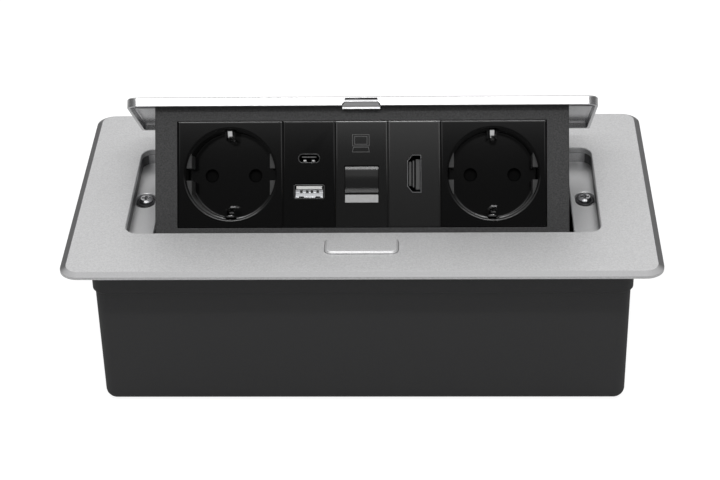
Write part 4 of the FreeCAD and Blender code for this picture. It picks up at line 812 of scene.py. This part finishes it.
leaf_half = 0.0059
leaf_low = -0.0102
leaf_high = -0.0066
leaf_back = -0.013
leaf_line = [(leaf_high, -0.0022), (-0.0079, -0.0022), (-0.0098, -0.0010), (leaf_low, -0.0010),
             (leaf_low, leaf_back), (leaf_high, leaf_back)]
leaf = face_piece("large_port_leaf", [extruded(leaf_line, -leaf_half, leaf_half, 0)],
                  charge_across, zinc_steel, (), 0.0001)
leaf_slot_up = (-0.0104, -0.0096)
leaf_slot_out = (-0.014, 0.0)
leaf_slots = [slab(ends, leaf_slot_up, leaf_slot_out)
              for ends in ((-0.0043, -0.0022), (0.0027, 0.0046))]
carved(leaf, *(on_face(slot, charge_across) for slot in leaf_slots))
# The four contacts are near-black plastic: painted shade on their metal.
contact_half = 0.00055
contact_up = (-0.0079, -0.0069)
contact_out = (-0.003, -0.0019)
contact_places = (-0.0034, -0.0009, 0.0011, 0.0036)
contacts = [slab((place - contact_half, place + contact_half), contact_up, contact_out)
            for place in contact_places]
face_piece("large_port_contacts", contacts, charge_across, contact_painted_shade, (),
           0.0001)
coat(board_green, "charger_board")
coat(inner_black, "charger_parts")


# Data insert: a plate with the window of the network jack. The slide before the jack is a moulded
# blade with a curved top and a lip for the finger, a grey label strip lies under it, and a small
# sign of a computer is printed above it.
port_black = moulded("port_plastic", (0.0015, 0.0015, 0.0015), 0.1, 900, 0.000001, 0.9)
slide_black = moulded("slide_plastic", (0.012, 0.012, 0.012), 0.2, 900, 0.000004, 0.55)
label_grey = moulded("label_grey", (0.55, 0.55, 0.55), 0.5, 900)
sign_grey = moulded("sign_grey", (0.11, 0.11, 0.11), 0.4, 900)
data_across = 0.0
data_plate = face_piece("data_plate", [plate_grid], data_across, port_black,
                        ["data_face"])
window_across = (-0.00725, 0.00725)
label_floor = -0.00085
window_up = (-0.0084, 0.0036)
seat_up = (-0.0124, -0.0088)
jack_window = slab(window_across, window_up, (insert_back - cutter_past, cutter_past))
label_seat = slab(window_across, seat_up, (label_floor, cutter_past))
carved(data_plate, on_face(jack_window, data_across), on_face(label_seat, data_across))
slide_half = 0.0071
blade_line = soft_profile([(-0.0081, -0.0019), (-0.0081, -0.0032), (0.0048, -0.0032),
                           (0.0046, -0.00174), (0.0018, -0.00110), (-0.0021, -0.0010),
                           (-0.0062, -0.0014), (-0.0065, -0.0011), (-0.0081, -0.0006),
                           (-0.0082, -0.0010)],
                          [0.0001, 0.0001, 0.0001, 0.0003, 0.0015, 0.0001, 0.00012, 0.0002])
face_piece("jack_slide", [extruded(blade_line, -slide_half, slide_half, 0)], data_across,
           slide_black, ["rj45_shutter"], 0.0001, "rj45_shutter")
strip_up = (-0.0123, -0.0089)
strip_top = -0.00045
strip = slab((-slide_half, slide_half), strip_up, (label_floor, strip_top))
face_piece("label_strip", [strip], data_across, label_grey, ["data_label"], 0.00008)


def outline_ring(outline, line, low, high):
    """A closed line of one width round a shape: the outline, and a copy of it scaled towards its
    middle by (half - line) / half, joined low and high."""
    outline = np.asarray(outline, float)
    middle = (outline.max(axis=0) + outline.min(axis=0)) / 2
    half = (outline.max(axis=0) - outline.min(axis=0)) / 2
    inner = middle + (outline - middle) * (half - line) / half
    corners = ((outline, low), (outline, high), (inner, high), (inner, low), (outline, low))
    return np.stack([np.column_stack([ring, np.full(len(ring), out)]) for ring, out in corners])


sign_line = 0.00028
sign_root = insert_face - 0.0001
sign_top = insert_face + 0.00004
screen = oblong((-0.0040, 0.0034), (0.0118, 0.0169))
glass = oblong((-0.0031, 0.0025), (0.0125, 0.0161))
keyboard = [(-0.0041, 0.0092), (0.0035, 0.0092), (0.0030, 0.0115), (-0.0036, 0.0115)]
signs = [outline_ring(shape, sign_line, sign_root, sign_top)
         for shape in (screen, glass, keyboard)]
made_piece("computer_sign", [skin(on_face(sign, data_across)) for sign in signs], sign_grey,
           "popup_module")
coat(inner_black, "rj45_jack")
coat(brass, "rj45_contacts")


# Video insert: a plate in a softer black. The port is a folded shell with two cut corners, set
# upright, with a blade and two springs inside and a near-black back that is painted shade.
video_black = moulded("video_plastic", (0.005, 0.005, 0.005), 0.14, 1500, 0.000003, 1.0)
rim_steel = blasted_metal("rim_steel", (0.42, 0.42, 0.43), 0.4, 900, 0.000006, 1.0)
video_grey = moulded("video_grey", (0.11, 0.11, 0.11), 0.4, 900)
video_across = 0.0225
video_plate = face_piece("video_plate", [plate_grid], video_across, video_black,
                         ["hdmi_face"])


video_half = (0.003, 0.0081)
video_cut = 0.0022


def port_outline(inset):
    """The upright port's outline: a rectangle with its two left corners cut, all pulled in by the
    inset. A cut shrinks by 0.6 of the inset and rises 1.2 times as far as it runs."""
    half_x = video_half[0] - inset
    half_y = video_half[1] - inset
    cut = video_cut - 0.6 * inset
    rise = 1.2 * cut
    return np.array([(half_x, -half_y), (half_x, half_y), (-half_x + cut, half_y),
                     (-half_x, half_y - rise), (-half_x, -half_y + rise),
                     (-half_x + cut, -half_y)])


hole_gap = 0.0001
video_hole = extruded(port_outline(-hole_gap), insert_back - cutter_past, cutter_past)
carved(video_plate, on_face(video_hole, video_across))
rim_wall = 0.00028
rim_side = -0.0008
rim_front = -0.0007
shell_rows = [(0, -0.016), (0, rim_side), (0.00008, rim_front), (0.0002, rim_front),
              (rim_wall, rim_side), (rim_wall, -0.014)]
shell_grid = np.stack([np.insert(port_outline(inset), 2, out, axis=1)
                       for inset, out in shell_rows])
made_piece("video_port", [skin(on_face(shell_grid, video_across))], rim_steel, "popup_module",
           ["hdmi_shell"])
video_wall = 0.0003
video_floor = -0.0135
video_back = -0.0138
port_back = extruded(port_outline(video_wall), video_back, video_floor)
face_piece("video_port_back", [port_back], video_across, port_painted_shade)
blade_across = (-0.0007, 0.0000)
blade_up = (-0.0058, 0.0056)
blade_front = -0.0016
blade = slab(blade_across, blade_up, (video_floor, blade_front))
face_piece("video_blade", [blade], video_across, video_grey, ["hdmi_tongue"],
           0.00015)
spring_out = (-0.012, -0.0026)
video_springs = [slab((-0.0024, -0.0012), (-0.0052, 0.0052), spring_out),
                 slab((0.0006, 0.0025), (-0.0068, 0.0062), spring_out)]
face_piece("video_port_springs", video_springs, video_across, video_grey, (),
           0.00015)
coat(inner_black, "hdmi_body")


# Floor: a plain white table, which takes the unit's soft shadow. To the camera, in gloss and
# through glass it is nearly white by itself, and otherwise it is lit as any pale floor.
floor_reach = 8.0
floor_white = bpy.data.materials.new("floor_white")
floor_white.use_nodes = True
tree = floor_white.node_tree
tree.nodes.clear()
rays = tree.nodes.new("ShaderNodeLightPath")
seen = tree.nodes.new("ShaderNodeMath")
seen.operation = "MAXIMUM"
seen_through = tree.nodes.new("ShaderNodeMath")
seen_through.operation = "MAXIMUM"
bounce = tree.nodes.new("ShaderNodeBsdfDiffuse")
bounce.inputs["Color"].default_value = (0.8, 0.8, 0.8, 1)
shadow = tree.nodes.new("ShaderNodeBsdfDiffuse")
shadow.inputs["Color"].default_value = (0.25, 0.25, 0.25, 1)
share = tree.nodes.new("ShaderNodeMapRange")
share.inputs["To Min"].default_value = 0.9
share.inputs["To Max"].default_value = 0.25
glow = tree.nodes.new("ShaderNodeEmission")
shown = tree.nodes.new("ShaderNodeAddShader")
either = tree.nodes.new("ShaderNodeMixShader")
output = tree.nodes.new("ShaderNodeOutputMaterial")
tree.links.new(rays.outputs["Is Camera Ray"], seen.inputs[0])
tree.links.new(rays.outputs["Is Glossy Ray"], seen.inputs[1])
tree.links.new(rays.outputs["Is Glossy Ray"], share.inputs["Value"])
tree.links.new(share.outputs["Result"], glow.inputs["Strength"])
tree.links.new(shadow.outputs[0], shown.inputs[0])
tree.links.new(glow.outputs[0], shown.inputs[1])
tree.links.new(seen.outputs[0], seen_through.inputs[0])
tree.links.new(rays.outputs["Is Transmission Ray"], seen_through.inputs[1])
tree.links.new(seen_through.outputs[0], either.inputs[0])
tree.links.new(bounce.outputs[0], either.inputs[1])
tree.links.new(shown.outputs[0], either.inputs[2])
tree.links.new(either.outputs[0], output.inputs["Surface"])
floor_ends = (-floor_reach, floor_reach)
floor_corners = [(x, y, 0) for x, y in oblong(floor_ends, floor_ends)]
floor_mesh = bpy.data.meshes.new("floor")
floor_mesh.from_pydata(floor_corners, [], [(0, 1, 2, 3)])
floor_mesh.materials.append(floor_white)
floor = bpy.data.objects.new("floor", floor_mesh)
bpy.context.scene.collection.objects.link(floor)


# Light: a studio tent that is bright above and behind and dark low down, and three lamps above the
# front: a softbox, a strip for the inserts' bevels and a low panel for their faces. The tent's
# brightness follows a direction's height plus a quarter of its depth.
world = bpy.data.worlds.new("studio")
bpy.context.scene.world = world
world.use_nodes = True
tree = world.node_tree
direction = tree.nodes.new("ShaderNodeTexCoord")
lean = tree.nodes.new("ShaderNodeVectorMath")
lean.operation = "DOT_PRODUCT"
lean.inputs[1].default_value = (0.0, 0.25, 1.0)
tent = tree.nodes.new("ShaderNodeMapRange")
tent.interpolation_type = "SMOOTHSTEP"
tent.inputs["From Min"].default_value = 0.45
tent.inputs["From Max"].default_value = 0.78
tent.inputs["To Min"].default_value = 0.14
tent.inputs["To Max"].default_value = 0.95
background = tree.nodes["Background"]
background.inputs["Color"].default_value = (1, 1, 1, 1)
tree.links.new(direction.outputs["Generated"], lean.inputs[0])
tree.links.new(lean.outputs["Value"], tent.inputs["Value"])
tree.links.new(tent.outputs["Result"], background.inputs["Strength"])
unit_middle = Vector((0, 0, 0.06))


def softbox(name, place, width, height, watts):
    """A rectangular lamp that faces the unit."""
    lamp = bpy.data.lights.new(name, "AREA")
    lamp.shape = "RECTANGLE"
    lamp.size = width
    lamp.size_y = height
    lamp.energy = watts
    holder = bpy.data.objects.new(name, lamp)
    bpy.context.scene.collection.objects.link(holder)
    holder.location = place
    holder.rotation_euler = (unit_middle - Vector(place)).to_track_quat("-Z", "Y").to_euler()
    holder.visible_camera = False


softbox("key_softbox", (0.0, -0.72, 1.08), 1.1, 0.5, 1.7)
softbox("high_strip", (0.0, -0.588, 1.145), 1.2, 0.05, 3.2)
softbox("low_panel", (0.0, -0.93, 0.866), 1.1, 0.13, 0.26)


# Camera: a long lens above the front edge, turned a little, as the photograph was taken. Its place
# and turns were solved from the corners of the unit.
camera_place = Vector((0.02745, -0.78451, deck + 0.4756))
pitch = math.radians(32.6117)
yaw = math.radians(-2.1754)
roll = math.radians(-1.3431)
forward = Vector((math.sin(yaw) * math.cos(pitch), math.cos(yaw) * math.cos(pitch),
                  -math.sin(pitch)))
level = Vector((math.cos(yaw), -math.sin(yaw), 0))
upright = level.cross(forward)
right = math.cos(roll) * level + math.sin(roll) * upright
up = -math.sin(roll) * level + math.cos(roll) * upright
turn = Matrix((right, up, -forward)).transposed().to_4x4()
camera_data = bpy.data.cameras.new("camera")
camera_data.lens = 104.93
camera_data.sensor_width = 36.0
camera = bpy.data.objects.new("camera", camera_data)
camera.matrix_world = Matrix.Translation(camera_place) @ turn
bpy.context.scene.collection.objects.link(camera)
bpy.context.scene.camera = camera
bpy.context.scene.view_settings.view_transform = "Standard"
